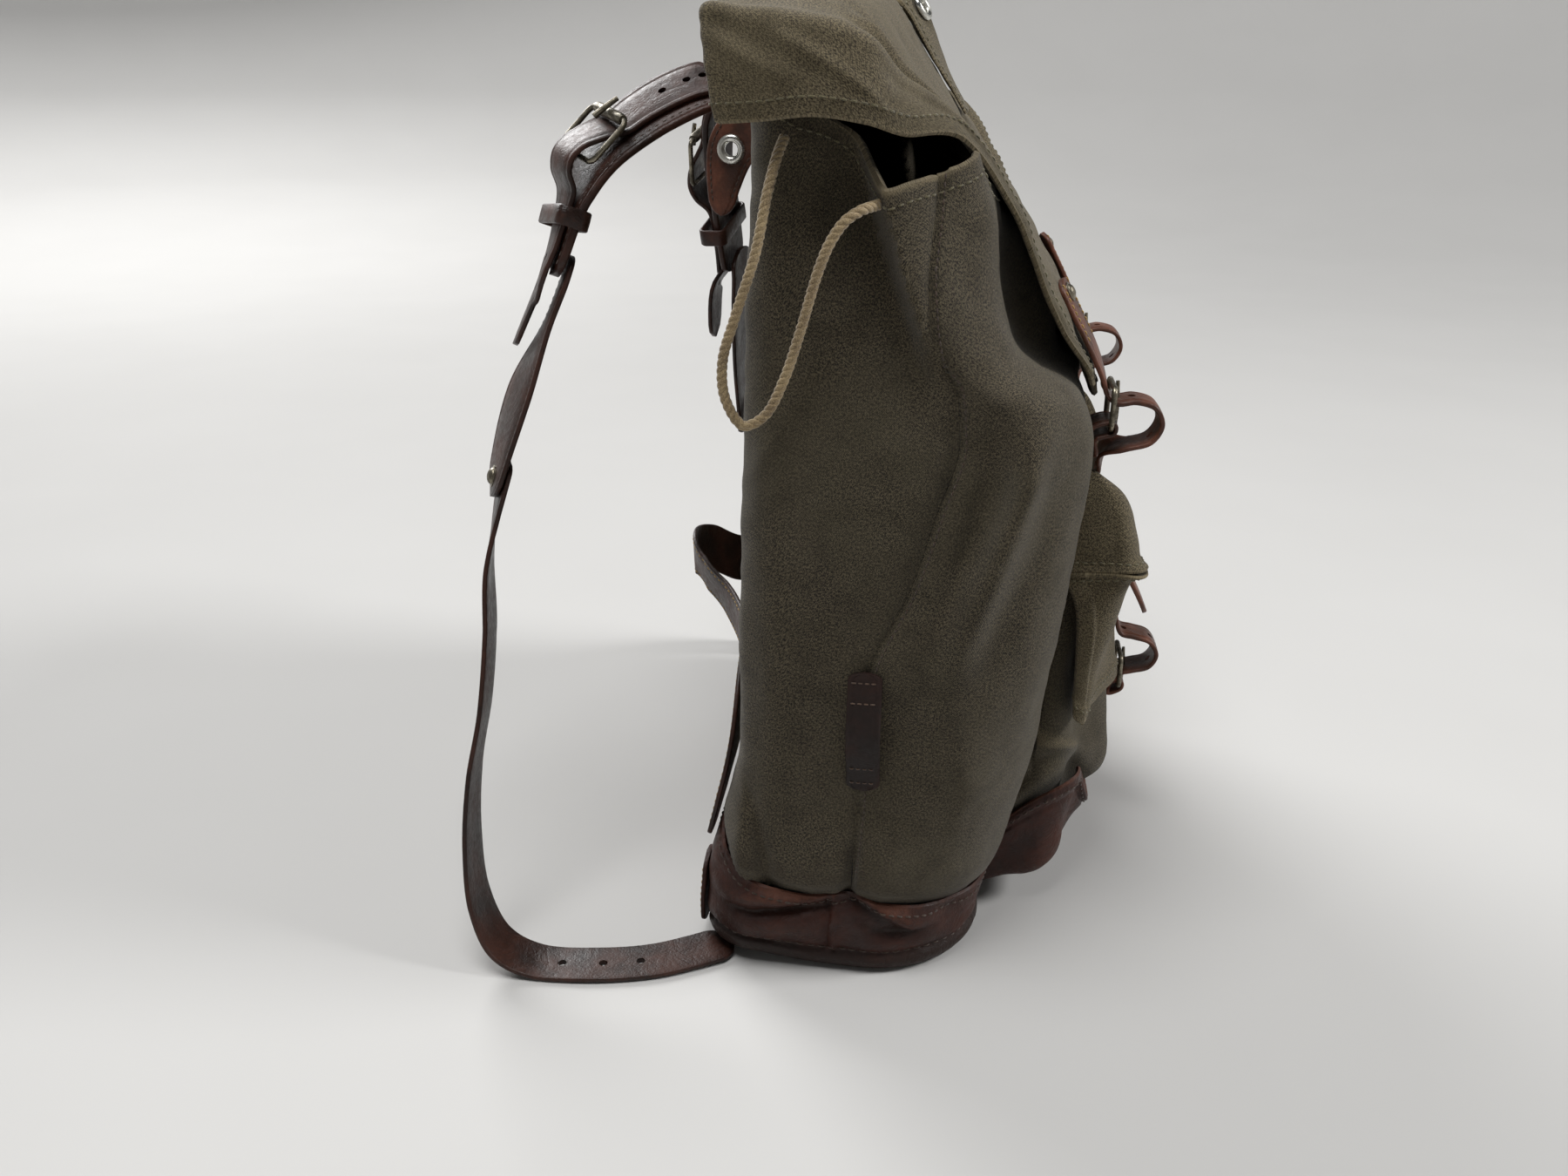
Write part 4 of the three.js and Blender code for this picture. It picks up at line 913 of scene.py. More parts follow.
def punch(piece: bpy.types.Object, frames: Frames, radius: float) -> None:
    """Punch a row of round holes through a strap."""
    cutter_form = Form()
    reach, sides = 8.0, 18
    aslant = [0.31, 0.84, 0.45]
    for p, n in zip(frames.p, frames.n):
        rod = np.stack([p - n * reach, p + n * reach])
        a = unit(np.cross(n, aslant))
        cutter_form.tube(rod[:, None] + around(a, np.cross(n, a), sides) * radius)
    cutter = cutter_form.build("punch", piece.data.materials[0])
    cut = piece.modifiers.new("holes", "BOOLEAN")
    cut.object, cut.operation, cut.solver = cutter, "DIFFERENCE", "EXACT"
    graph = bpy.context.evaluated_depsgraph_get()
    mesh = bpy.data.meshes.new_from_object(piece.evaluated_get(graph))
    piece.modifiers.clear()
    piece.data = mesh
    mesh.set_sharp_from_angle(angle=math.radians(CREASE_DEGREES))
    bpy.data.objects.remove(cutter)


class Workshop:
    """All finishes, made once, and the making of pieces in them."""

    def __init__(self) -> None:
        """Make each finish's material."""
        self.materials = {finish: finish.value[1].material() for finish in Finish}

    def place(self, piece: bpy.types.Object, slot: Slot, *nodes: str) -> bpy.types.Object:
        """Let a piece ride on the rucksack in the place of its solids, and report it."""
        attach(piece, ROOT)
        if nodes:
            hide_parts(*nodes)
        LOG.info("%s: %d faces", piece.name, len(piece.data.polygons))
        return piece

    def settle(self, form: Form, finish: Finish, kind: str, *nodes: str) -> bpy.types.Object:
        """Make a piece in the place of its solids, named by the first of them and by what it is."""
        piece = form.build(f"{nodes[0]}_{kind}", self.materials[finish])
        return self.place(piece, finish.value[0], *nodes)

    def sew(self, form: Form, finish: Finish, name: str) -> None:
        """Make a piece of stitching, which stands in the place of no solid."""
        self.place(form.build(name, self.materials[finish]), finish.value[0])

    def strap(
        self, route: Route, finish: Finish, node: str, thickness: float, *,
        steps: int, crown: float, tips: Pair, groove: float = 0.3,
        holes: Sequence[float] = (), bore: float = 0.0, slot: Slot | None = None,
    ) -> Frames:
        """Make a leather strap in the place of its solid.

        Args:
            route: Its middle line.
            finish: Its finish.
            node: The solid.
            thickness: Its thickness.
            steps: The number of sections along it.
            crown: How far its edges bend back from its middle.
            tips: Length of the rounded end at its start and at its end, or 0 where it is cut square.
            groove: Depth of the pressed lines beside its edges.
            holes: Shares of the route where it is punched.
            bore: Half the width of the holes.
            slot: Its material slot, where that isn't the finish's own; passed on, but not used.

        Returns:
            Its sections' frames.
        """
        frames = route.at(np.linspace(0, 1, steps))
        form = Form()
        form.band(frames, thickness, crown, tips, groove)
        piece = form.build(f"{node}_leather", self.materials[finish])
        if len(holes):
            punch(piece, route.at(holes), bore)
        self.place(piece, slot or finish.value[0], node)
        return frames


class Edge(Enum):
    """The four edges of a grid of points."""

    FIRST_ROW = "first row"
    LAST_ROW = "last row"
    FIRST_COLUMN = "first column"
    LAST_COLUMN = "last column"


def beside(grid: Array, out: Array, edge: Edge, distance: float) -> tuple[Array, Array]:
    """A line on a grid that runs beside one of its edges.

    Args:
        grid: The grid's points.
        out: The directions out of it.
        edge: The edge to follow.
        distance: How far in from the edge the line runs.

    Returns:
        The line's points and the directions out of the grid there.
    """
    both = np.concatenate([grid, out], axis=2)
    if edge in (Edge.FIRST_ROW, Edge.LAST_ROW):
        both = both.transpose(1, 0, 2)
    if edge in (Edge.LAST_ROW, Edge.LAST_COLUMN):
        both = both[:, ::-1]
    found = []
    for line in both:
        along = lengths(line[:, :3])
        found.append([np.interp(distance, along, line[:, k]) for k in range(6)])
    found = np.array(found)
    return found[:, :3], found[:, 3:]


def rounded_frame(
    width: float, height: float, corner: float, p: Array, a: Array, b: Array, steps: int = 6
) -> Array:
    """The middle line of a rounded rectangular ring, across along a and up along b."""
    points = []
    for k, (sx, sy) in enumerate(((1, 1), (-1, 1), (-1, -1), (1, -1))):
        turn = np.radians(np.linspace(90 * k, 90 * (k + 1), steps))
        x = sx * (width / 2 - corner) + corner * np.cos(turn)
        y = sy * (height / 2 - corner) + corner * np.sin(turn)
        points.append(p + x[:, None] * a + y[:, None] * b)
    corners = np.concatenate(points)
    following = np.roll(corners, -1, axis=0)
    return np.stack([corners, (corners + following) / 2], axis=1).reshape(-1, 3)


KNOB = ((0, 0), (1.0, 0), (1.0, 0.16), (0.93, 0.42), (0.72, 0.72), (0.42, 0.93), (0.16, 1.0))


def rivet(form: Form, place: Array, axis: Array, radius: float, height: float) -> None:
    """Add a domed rivet head on a thin washer."""
    form.lathe(place, axis, ((0, 0), (radius, 0), (radius, 0.5), (radius * 0.82, 0.75)), 32)
    form.lathe(place, axis, [(r * radius * 0.78, 0.3 + h * (height - 0.3)) for r, h in KNOB], 32)


def grommet(form: Form, place: Array, axis: Array, outer: float, bore: float, height: float) -> None:
    """Add a rolled metal eyelet with a barrel that goes through the leather or cloth."""
    middle, reach = (outer + bore) / 2, (outer - bore) / 2
    turn = np.linspace(math.pi, 0, 11)
    roll = [(middle + reach * math.cos(a), height * math.sin(a) ** 0.8) for a in turn]
    barrel = [(outer - 0.4, -0.4), (bore + 0.9, -0.4), (bore + 0.7, -3.0)]
    form.lathe(place, axis, [(bore, -3.0), *roll, *barrel], 40)


# Sub-assemblies


@dataclass
class Studio:
    """The camera, the pale floor with its rounded surround, and the soft lights."""

    eye: Place = (0.050, -0.751, 0.450)
    azimuth: float = 8.0
    elevation: float = 22.0
    lens: float = 29.12
    sensor: float = 36.0
    floor_profile: tuple[Pair, ...] = (
        (0.4, 0.0), (2.4, 0.0), (3.2, 0.03), (3.9, 0.15), (4.5, 0.4), (4.9, 0.8), (5.1, 1.3), (5.2, 2.0)
    )
    floor_sides: int = 96
    lights: tuple[tuple[str, Place, float, float], ...] = (
        ("window", (-2.3, 2.5, 2.6), 2.2, 140.0),
        ("ceiling", (-0.2, -0.45, 1.75), 0.9, 18.0),
        ("side", (3.0, 0.1, 2.4), 1.0, 94.0),
    )
    sky: str = "eef0f2"
    sky_strength: float = 0.06
    aim: Place = (0.0, 0.0, 0.24)

    def build(self) -> None:
        """Set up the camera first, then the floor and the lights."""
        az, el = math.radians(self.azimuth), math.radians(self.elevation)
        back = Vector((math.sin(az) * math.cos(el), -math.cos(az) * math.cos(el), math.sin(el)))
        data = bpy.data.cameras.new("camera")
        data.lens, data.sensor_width = self.lens, self.sensor
        camera = stand("camera", data)
        camera.location = self.eye
        camera.rotation_euler = back.to_track_quat("Z", "Y").to_euler()
        bpy.context.scene.camera = camera
        self.build_floor()
        for name, place, size, power in self.lights:
            light = bpy.data.lights.new(name, "AREA")
            light.shape, light.size, light.energy = "DISK", size, power
            lamp = stand(name, light)
            lamp.location = place
            lamp.rotation_euler = (Vector(place) - Vector(self.aim)).to_track_quat("Z", "Y").to_euler()
        world = bpy.data.worlds.new("room")
        world.use_nodes = True
        sky = world.node_tree.nodes["Background"]
        sky.inputs["Color"].default_value = tint(self.sky)
        sky.inputs["Strength"].default_value = self.sky_strength
        bpy.context.scene.world = world
        bpy.context.scene.view_settings.view_transform = "Standard"

    def build_floor(self) -> None:
        """Make the floor, which rises softly all round, far from the rucksack."""
        turn = np.linspace(0, 2 * math.pi, self.floor_sides, endpoint=False)
        size = np.array(self.floor_profile)
        ring = np.stack([np.cos(turn), np.sin(turn)], axis=1)
        level = min(0.0, float(CAD_BOX[0][2])) - 0.0003
        rings = [np.column_stack([ring * r, np.full(len(turn), z + level)]) for r, z in size]
        number = np.arange(len(size) * len(turn)).reshape(len(size), len(turn))
        beside_it = np.roll(number, -1, axis=1)
        faces = np.stack([number[:-1], beside_it[:-1], beside_it[1:], number[1:]], axis=2).reshape(-1, 4)
        mesh = bpy.data.meshes.new("floor")
        mesh.from_pydata(np.concatenate(rings).tolist(), [], [*faces[:, ::-1].tolist(), number[0].tolist()])
        mesh.materials.append(FloorFinish().material())
        mesh.shade_smooth()
        floor = stand("floor", mesh)


@dataclass
class Drawstring:
    """The free loop of the drawstring, at the left of the mouth: three twisted strands."""

    diameter: float = 5.0
    strand: float = 1.5
    lay_length: float = 10.0
    steps: int = 320
    rows: Table = Table(
        "x y z",
        (-31, -174, 425), (-33, -184, 417), (-36, -191, 403), (-41, -194, 378), (-50, -195, 351),
        (-56, -195, 331), (-55, -195, 314), (-47, -195, 302), (-37, -195.5, 307), (-28, -195.5, 324),
        (-21, -195.5, 345), (-13, -196, 372), (-8, -196, 384), (-2, -195, 392.5), (4, -191.5, 396.5),
        (9.5, -184, 398), (13, -174, 398.5),
        width=5,
    )

    def build(self, shop: Workshop) -> None:
        """Twist the strands along the loop."""
        frames = Route(self.rows, hint=(1, 0.2, 0.1)).at(np.linspace(0, 1, self.steps))
        along = lengths(frames.p)
        form = Form()
        offset = self.diameter / 2 - self.strand
        for k in range(3):
            turn = 2 * math.pi * (along / self.lay_length + k / 3)
            form.wire(frames.point(offset * np.cos(turn), offset * np.sin(turn)), self.strand, 10)
        cord = shop.settle(form, Finish.COTTON, "cord", "drawstring")
        (frames.p[0] * MM).tolist()
        (frames.p[::4] * MM).tolist() + [(frames.p[-1] * MM).tolist()]


def mirrored_shares(*stops: tuple[float, float, int]) -> Array:
    """Shares from 0 to 1, with so many spans from stop to stop up to the middle, and the same after it."""
    left = np.concatenate([np.linspace(a, b, spans, endpoint=False) for a, b, spans in stops])
    return np.concatenate([left, [0.5], 1 - left[::-1]])


SIDE_END, CORNER_END = 0.16, 0.38


def outline_shares(side: int, corner: int, face: int) -> Array:
    """Shares round a half of the sack, with so many spans on each side, each corner and half the face."""
    return mirrored_shares((0.0, SIDE_END, side), (SIDE_END, CORNER_END, corner), (CORNER_END, 0.5, face))


@dataclass
class Sack:
    """The canvas sack: a front and a back half, sewn together down each side."""

    canvas: float = 2.0
    hem: float = 9.0
    seam_groove: float = 2.6
    back_bulge: float = 5.0
    bulge_from: float = 90.0
    bulge_fade: float = 80.0
    foot: float = 24.0
    rim_from: float = 390.0
    rim_share: float = 0.88
    rows: int = 170
    spans: tuple[int, int, int] = (26, 30, 26)
    seam_from: float = 62.0
    gather_half: float = 122.0
    gather_fade: float = 44.0
    crumple: Waves = ((1.5, 64, 3), (0.55, 25, 5), (0.2, 11, 8))
    gather: Table = Table(
        "z out",
        (305, 0), (321, 14), (332, 23), (346, 23.5), (362, 18), (379, 11.5), (393, 0.5), (410, -7.5),
        (446, -8),
    )
    sections: Table = Table(
        "z back front half back_round front_round seam",
        (24, -70.5, 71.5, 189, 24, 57, 5), (60, -67, 84, 191, 25, 60, 7),
        (104, -56.5, 97, 193, 26, 60, 10), (150, -54.5, 103.5, 194, 26, 58, 11),
        (185, -54, 107.5, 194.5, 26, 57, 15), (220, -53.5, 111, 193.5, 26, 56, 31),
        (262, -53, 114.5, 191, 26, 54, 43.5), (288, -52.5, 115, 188.5, 26, 52, 51.5),
        (301, -52.5, 111.5, 187, 26, 49, 51), (312, -52, 104, 185.5, 26, 44, 50),
        (321, -52, 86, 184, 26, 35, 47.5), (332, -51.5, 74.5, 182, 26, 30, 39.5),
        (362, -51, 66.5, 177, 25, 28, 35.5), (393, -50.5, 63, 172, 24, 20, 36.5),
        (420, -50, 54, 168, 24, 14, 37), (446, -50, 48, 165, 24, 10, 36.5),
    )
    front_rim: Table = Table(
        "at z",
        (0, 410), (0.16, 412), (0.3, 417), (0.355, 418), (0.4, 403), (0.5, 398), (0.6, 403), (0.64, 411),
        (0.7, 418), (0.84, 429), (1, 436),
    )
    back_rim: Table = Table(
        "at z",
        (0, 410), (0.03, 407), (0.062, 404.5), (0.08, 413), (0.104, 427), (0.16, 436), (0.38, 450),
        (0.5, 450), (0.62, 450), (0.84, 438), (0.92, 437), (1, 436),
    )
    crest: Fold = Fold(
        ((5, 432, 12), (13, 404, 16), (24, 366, 14), (33, 345, 9), (41, 330, 3), (46, 315, 0)), 4, 20
    )
    folds: tuple[Fold, ...] = (
        Fold(
            ((-7, 436, -6), (3, 404, -13), (14, 366, -13), (24, 340, -9), (33, 318, -4), (38, 298, 0)), 18, 5
        ),
        Fold(((45, 322, -1), (52, 290, -5), (44, 264, -5), (31, 217, -4), (20, 190, 0)), 9, 12),
        Fold(((84, 300, 4), (78, 262, 0)), 20, 20),
        Fold(((97, 316, 0), (86, 278, 10), (76, 250, 10), (62, 214, 6), (50, 170, 0)), 9, 8),
        Fold(((68, 304, -3), (67, 272, -8), (59, 240, -8), (46, 200, -2), (40, 176, 0)), 9, 9),
        Fold(((98, 268, -3), (88, 236, -5), (72, 196, -3), (66, 160, 0)), 8, 11),
        Fold(((5, 48, -3.5), (7, 64, -2.5), (12, 88, 0)), 3, 4),
        Fold(((-14, 58, 1.6), (-10, 84, 1.4), (-6, 112, 0)), 12, 9),
        Fold(((26, 58, 1.6), (28, 84, 1.4), (26, 116, 0)), 10, 14),
        Fold(((-48, 104, 0), (-52, 78, 4.5), (-54, 54, 5)), 6, 7),
        Fold(((-50, 118, 0), (-45, 92, -4), (-40, 68, -5), (-38, 52, -3)), 3, 6),
        Fold(((-28, 320, 0), (-34, 250, 3.4), (-31, 170, 3), (-36, 110, 0)), 11, 16),
        Fold(((-20, 205, 0), (0, 196, -2), (22, 205, 0)), 9, 9),
        Fold(((-24, 90, 0), (2, 104, -1.8), (34, 92, 0)), 8, 8),
        Fold(((52, 170, 0), (66, 116, 4), (60, 66, 1)), 9, 12),
    )

    def fold(self, x: Array, z: Array) -> Array:
        """How far all folds push the sack's side out at x, z."""
        return sum(fold.height(x, z) for fold in (self.crest, *self.folds))

    def outline(
        self, z: Array, half: Half, share: Array, grow: Values = 0.0, folded: bool = True
    ) -> Array:
        """Points round a half of the sack.

        Args:
            z: Heights.
            half: The front or the back half.
            share: Shares of the way round the half, from the left seam to the right seam.
            grow: How far outside the sack's own skin.
            folded: Whether the sides carry their folds.

        Returns:
            The points.
        """
        front = half is Half.FRONT
        z, share, grow = np.broadcast_arrays(np.asarray(z, float), share, grow)
        level = np.clip(z, self.foot, None)
        read = lambda column: self.sections.read(column, level, "z")
        face = read("front" if front else "back") + half.value * grow
        bend = read("front_round" if front else "back_round") + grow
        width = read("half") + grow
        corner = face - half.value * bend
        s = np.minimum(share, 1 - share)
        on_side, on_corner = s < SIDE_END, s < CORNER_END
        angle = np.clip((s - SIDE_END) / (CORNER_END - SIDE_END), 0, 1) * math.pi / 2
        x = np.where(on_corner, corner + half.value * bend * np.sin(angle), face)
        x = np.where(on_side, mix(read("seam"), corner, s / SIDE_END), x)
        y = (width - bend) * (1 - (s - CORNER_END) / (0.5 - CORNER_END))
        y = np.where(on_corner, width - bend + bend * np.cos(angle), y)
        y = np.where(on_side, width, y)
        if folded:
            y = y + np.where(on_side, 1, np.where(on_corner, np.cos(angle), 0)) * self.fold(x, level)
        if front:
            x = x + self.gather.read("out", z, "z") * smooth((self.gather_half - y) / self.gather_fade)
        else:
            x = x - self.bulge(z, y / width)
        return np.stack([x, np.where(share < 0.5, -1, 1) * y, z], axis=-1)

    def bulge(self, z: Array, share: Array) -> Array:
        """How far the back panel stands out at a height and a share of the way to its side."""
        return self.back_bulge * smooth(1 - share) * smooth((z - self.bulge_from) / self.bulge_fade)

    def panel_x(self, z: Array, y: Array) -> Array:
        """Where the front panel stands at a height and a place across."""
        read = lambda column: self.sections.read(column, z, "z")
        bend = read("front_round")
        past = np.maximum(0, np.abs(y) - (read("half") - bend))
        return read("front") - bend + np.sqrt(np.maximum(bend**2 - past**2, 0))

    def back_x(self, z: Array, y: Array) -> Array:
        """Where the back panel stands at a height and a place across."""
        share = np.abs(y) / self.sections.read("half", z, "z")
        return self.sections.read("back", z, "z") - self.bulge(z, share)

    def build(self, shop: Workshop, base: "BaseCup") -> None:
        """Make both halves and sew them together."""
        seams, side_seams = Form(), Form()
        halves = ((Half.FRONT, self.front_rim, "front_canvas"), (Half.BACK, self.back_rim, "back_canvas"))
        for half, rim, node in halves:
            inside = (half.value * 10, 0, 200)
            share = outline_shares(*self.spans)[None, :]
            up = np.linspace(0, 1, self.rows)[:, None]
            low = self.foot + (self.rim_from - self.foot) * np.minimum(up / self.rim_share, 1)
            top = rim.read("z", share, "at")
            z = low + (top - self.rim_from) * np.maximum(0, (up - self.rim_share) / (1 - self.rim_share))
            above = z - base.edge(half, share)
            puff = 3.6 * smooth((above - 1) / 9) * hump(np.maximum(0, above - 12), 23)
            tucked = 7.0 * smooth(-above / 6)
            grid = self.outline(z, half, share, puff - tucked)
            out = grid_normals(grid, inside)
            loose = smooth(above / 25)
            x = grid[..., 0]
            from_seam = np.minimum(np.abs(x - x[:, :1]), np.abs(x - x[:, -1:]))
            on_side = np.minimum(share, 1 - share) < CORNER_END
            groove = 2.2 * hump(from_seam, self.seam_groove) * on_side * smooth((above + 4) / 20)
            grid = grid + out * (uneven(grid, self.crumple) * loose - groove)[..., None]
            to_rim = top - z
            hem = smooth((self.hem - to_rim) / 1.5)
            ridge, _, _ = self.crest.near(grid[..., 0], grid[..., 2])
            side = on_side * smooth((np.abs(grid[..., 1]) - 120) / 30)
            wear = 0.6 * hump(to_rim, 2.4) + 0.22 * hump(ridge, 4) * side + 0.2 * hump(above - 9, 7)
            wear = wear + np.clip(self.fold(grid[..., 0], z) / 14, 0, 0.22) * side
            # Darker just above the leather foot for dust, and darker towards the mouth as painted shade under
            # the lid.
            soil = 0.55 * hump(np.maximum(0, above - 6), 30) * (above < 60) + 0.25 * smooth((z - 380) / 50)
            form = Form()
            out = form.sheet(grid, self.canvas + 1.4 * hem, inside, wear, soil)
            shop.settle(form, Finish.CANVAS, "cloth", node)
            seams.stitches(*beside(grid, out, Edge.LAST_ROW, self.hem - 1.5))
            if half is Half.FRONT:
                for edge in (Edge.FIRST_COLUMN, Edge.LAST_COLUMN):
                    path, normal = beside(grid, out, edge, 3.4)
                    above_base = path[:, 2] > self.seam_from
                    side_seams.stitches(path[above_base], normal[above_base], Stitch.SIDE_SEAM)
        shop.sew(seams, Finish.OLIVE, "sack_stitching")
        shop.sew(side_seams, Finish.DARK, "side_seam_stitching")


@dataclass
class BaseCup:
    """The leather base: a cup with a welt round its foot, creased where it has settled."""

    sack: Sack
    leather: float = 2.4
    lap: float = 1.1
    lumps: Waves = ((0.9, 34, 11), (0.35, 12, 12))
    front_edge: Table = Table(
        "at z",
        (0, 48.5), (0.06, 47), (0.16, 45), (0.3, 40), (0.5, 42), (0.7, 40), (0.84, 45), (0.94, 47),
        (1, 48.5),
    )
    back_edge: Table = Table(
        "at z",
        (0, 48.5), (0.08, 47), (0.2, 55), (0.38, 78), (0.62, 78), (0.8, 55), (0.92, 47), (1, 48.5),
    )
    profile: Table = Table(
        "z inset",
        (0, 18), (0, 9), (0.5, 4.6), (2, 2.0), (4.5, 0.4), (7.5, -0.4), (10, 0.2), (11.4, 1.7),
        (12.8, 1.9), (14.2, 0.6), (17, -0.6), (20.5, -1.1), (24, -1.2),
    )
    lift_at: Pair = (-60.0, -183.0)
    lift_rise: float = 6.0
    lift_reach: float = 36.0
    creases: tuple[Fold, ...] = (
        Fold(((-66, 36, -2), (-46, 33, -4.5), (-22, 37, -5.5), (-4, 41, -4)), 3.2, 4.2),
        Fold(((-64, 44, 2), (-30, 45, 3.5), (-8, 49, 2.5)), 6, 6),
        Fold(((-50, 22, 2), (-24, 25, 2.5), (-8, 26, 1)), 7, 7),
        Fold(((2, 53, -5), (10, 45, -5.5), (24, 35, -4.5), (44, 24, 0)), 4.2, 3.4),
        Fold(((12, 52, 2.5), (24, 43, 4), (42, 32, 3)), 5, 7),
        Fold(((8, 40, 0), (20, 27, -4), (40, 25, -3.5), (58, 32, 0)), 3.2, 4),
        Fold(((48, 46, 0), (58, 36, -3), (62, 22, -1)), 4, 5),
        Fold(((-2, 53, 2.2), (-2.4, 14, 2.2)), 1.6, 1.6),
        Fold(((-5.2, 52, -1.6), (-5.4, 14, -1.6)), 1.6, 1.6),
    )

    def edge(self, half: Half, share: Array) -> Array:
        """Height of the upper edge round a half."""
        return (self.front_edge if half is Half.FRONT else self.back_edge).read("z", share, "at")

    def build(self, shop: Workshop) -> None:
        """Form the cup, then stitch its edge and its welt."""
        shares = outline_shares(30, 24, 20)
        heights, insets = self.profile["z"], self.profile["inset"]
        climb = np.linspace(0, 1, 22)[1:]
        z_rows = np.concatenate([heights, np.full(len(climb), heights[-1])])[:, None]
        up = np.concatenate([np.zeros(len(heights)), climb])[:, None]
        inset = np.concatenate([insets, mix(insets[-1], 1.0, smooth(climb) ** 2)])[:, None]
        halves = []
        for half, turn in ((Half.FRONT, slice(None)), (Half.BACK, slice(-2, 0, -1))):
            share = shares[None, turn]
            edge = self.edge(half, share)
            z = mix(z_rows, edge, up)
            grid = self.sack.outline(z, half, share, self.lap + self.leather - inset, folded=False)
            x, y = grid[..., 0], grid[..., 1]
            on_side = smooth((np.abs(y) - 120) / 60)
            fade = smooth((edge - z) / 5) * smooth((z - 9) / 6)
            crumple = sum(crease.height(x, z) for crease in self.creases) * on_side
            pucker = 2.4 * hump(x - 4, 8) * smooth((z - 34) / 18) * on_side
            grid[..., 1] += np.sign(y) * (crumple * fade - pucker)
            near = np.hypot(x - self.lift_at[0], y - self.lift_at[1]) / self.lift_reach
            grid[..., 2] += self.lift_rise * np.exp(-(near**2)) * smooth((30 - z) / 24)
            halves.append((grid, *np.broadcast_arrays(z, edge, crumple)))
        grid, z, edge, crumple = (np.concatenate(parts, axis=1) for parts in zip(*halves))
        out = grid_normals(grid, (0, 0, 40), ring=True)
        grid = grid + out * (uneven(grid, self.lumps) * smooth((z - 3) / 12))[..., None]
        grid[..., 2] = np.maximum(grid[..., 2], 0.0)
        wear = 0.5 * hump(edge - z, 2.5) + np.clip(crumple / 5, 0, 0.7) + 0.3 * hump(z - 8, 3)
        # Painted shade: darker round the welt and the foot, and in the valleys of the creases.
        soil = 0.8 * smooth((15 - z) / 5) + np.clip(-crumple / 6, 0, 0.7)
        form = Form()
        out = form.sheet(grid, self.leather, (0, 0, 60), wear, soil, cup=True)
        shop.settle(form, Finish.BASE, "cup", "base_leather", "base_sole")
        seams = Form()
        closed = lambda line: np.concatenate([line, line[:1]])
        path, normal = beside(grid, out, Edge.LAST_ROW, 5.0)
        seams.stitches(closed(path), closed(normal), Stitch.LEATHER)
        welt = int(np.argmax(heights > 11.5))
        seams.stitches(closed(grid[welt]), closed(out[welt]), Stitch.WELT)
        shop.sew(seams, Finish.DARK, "base_stitching")


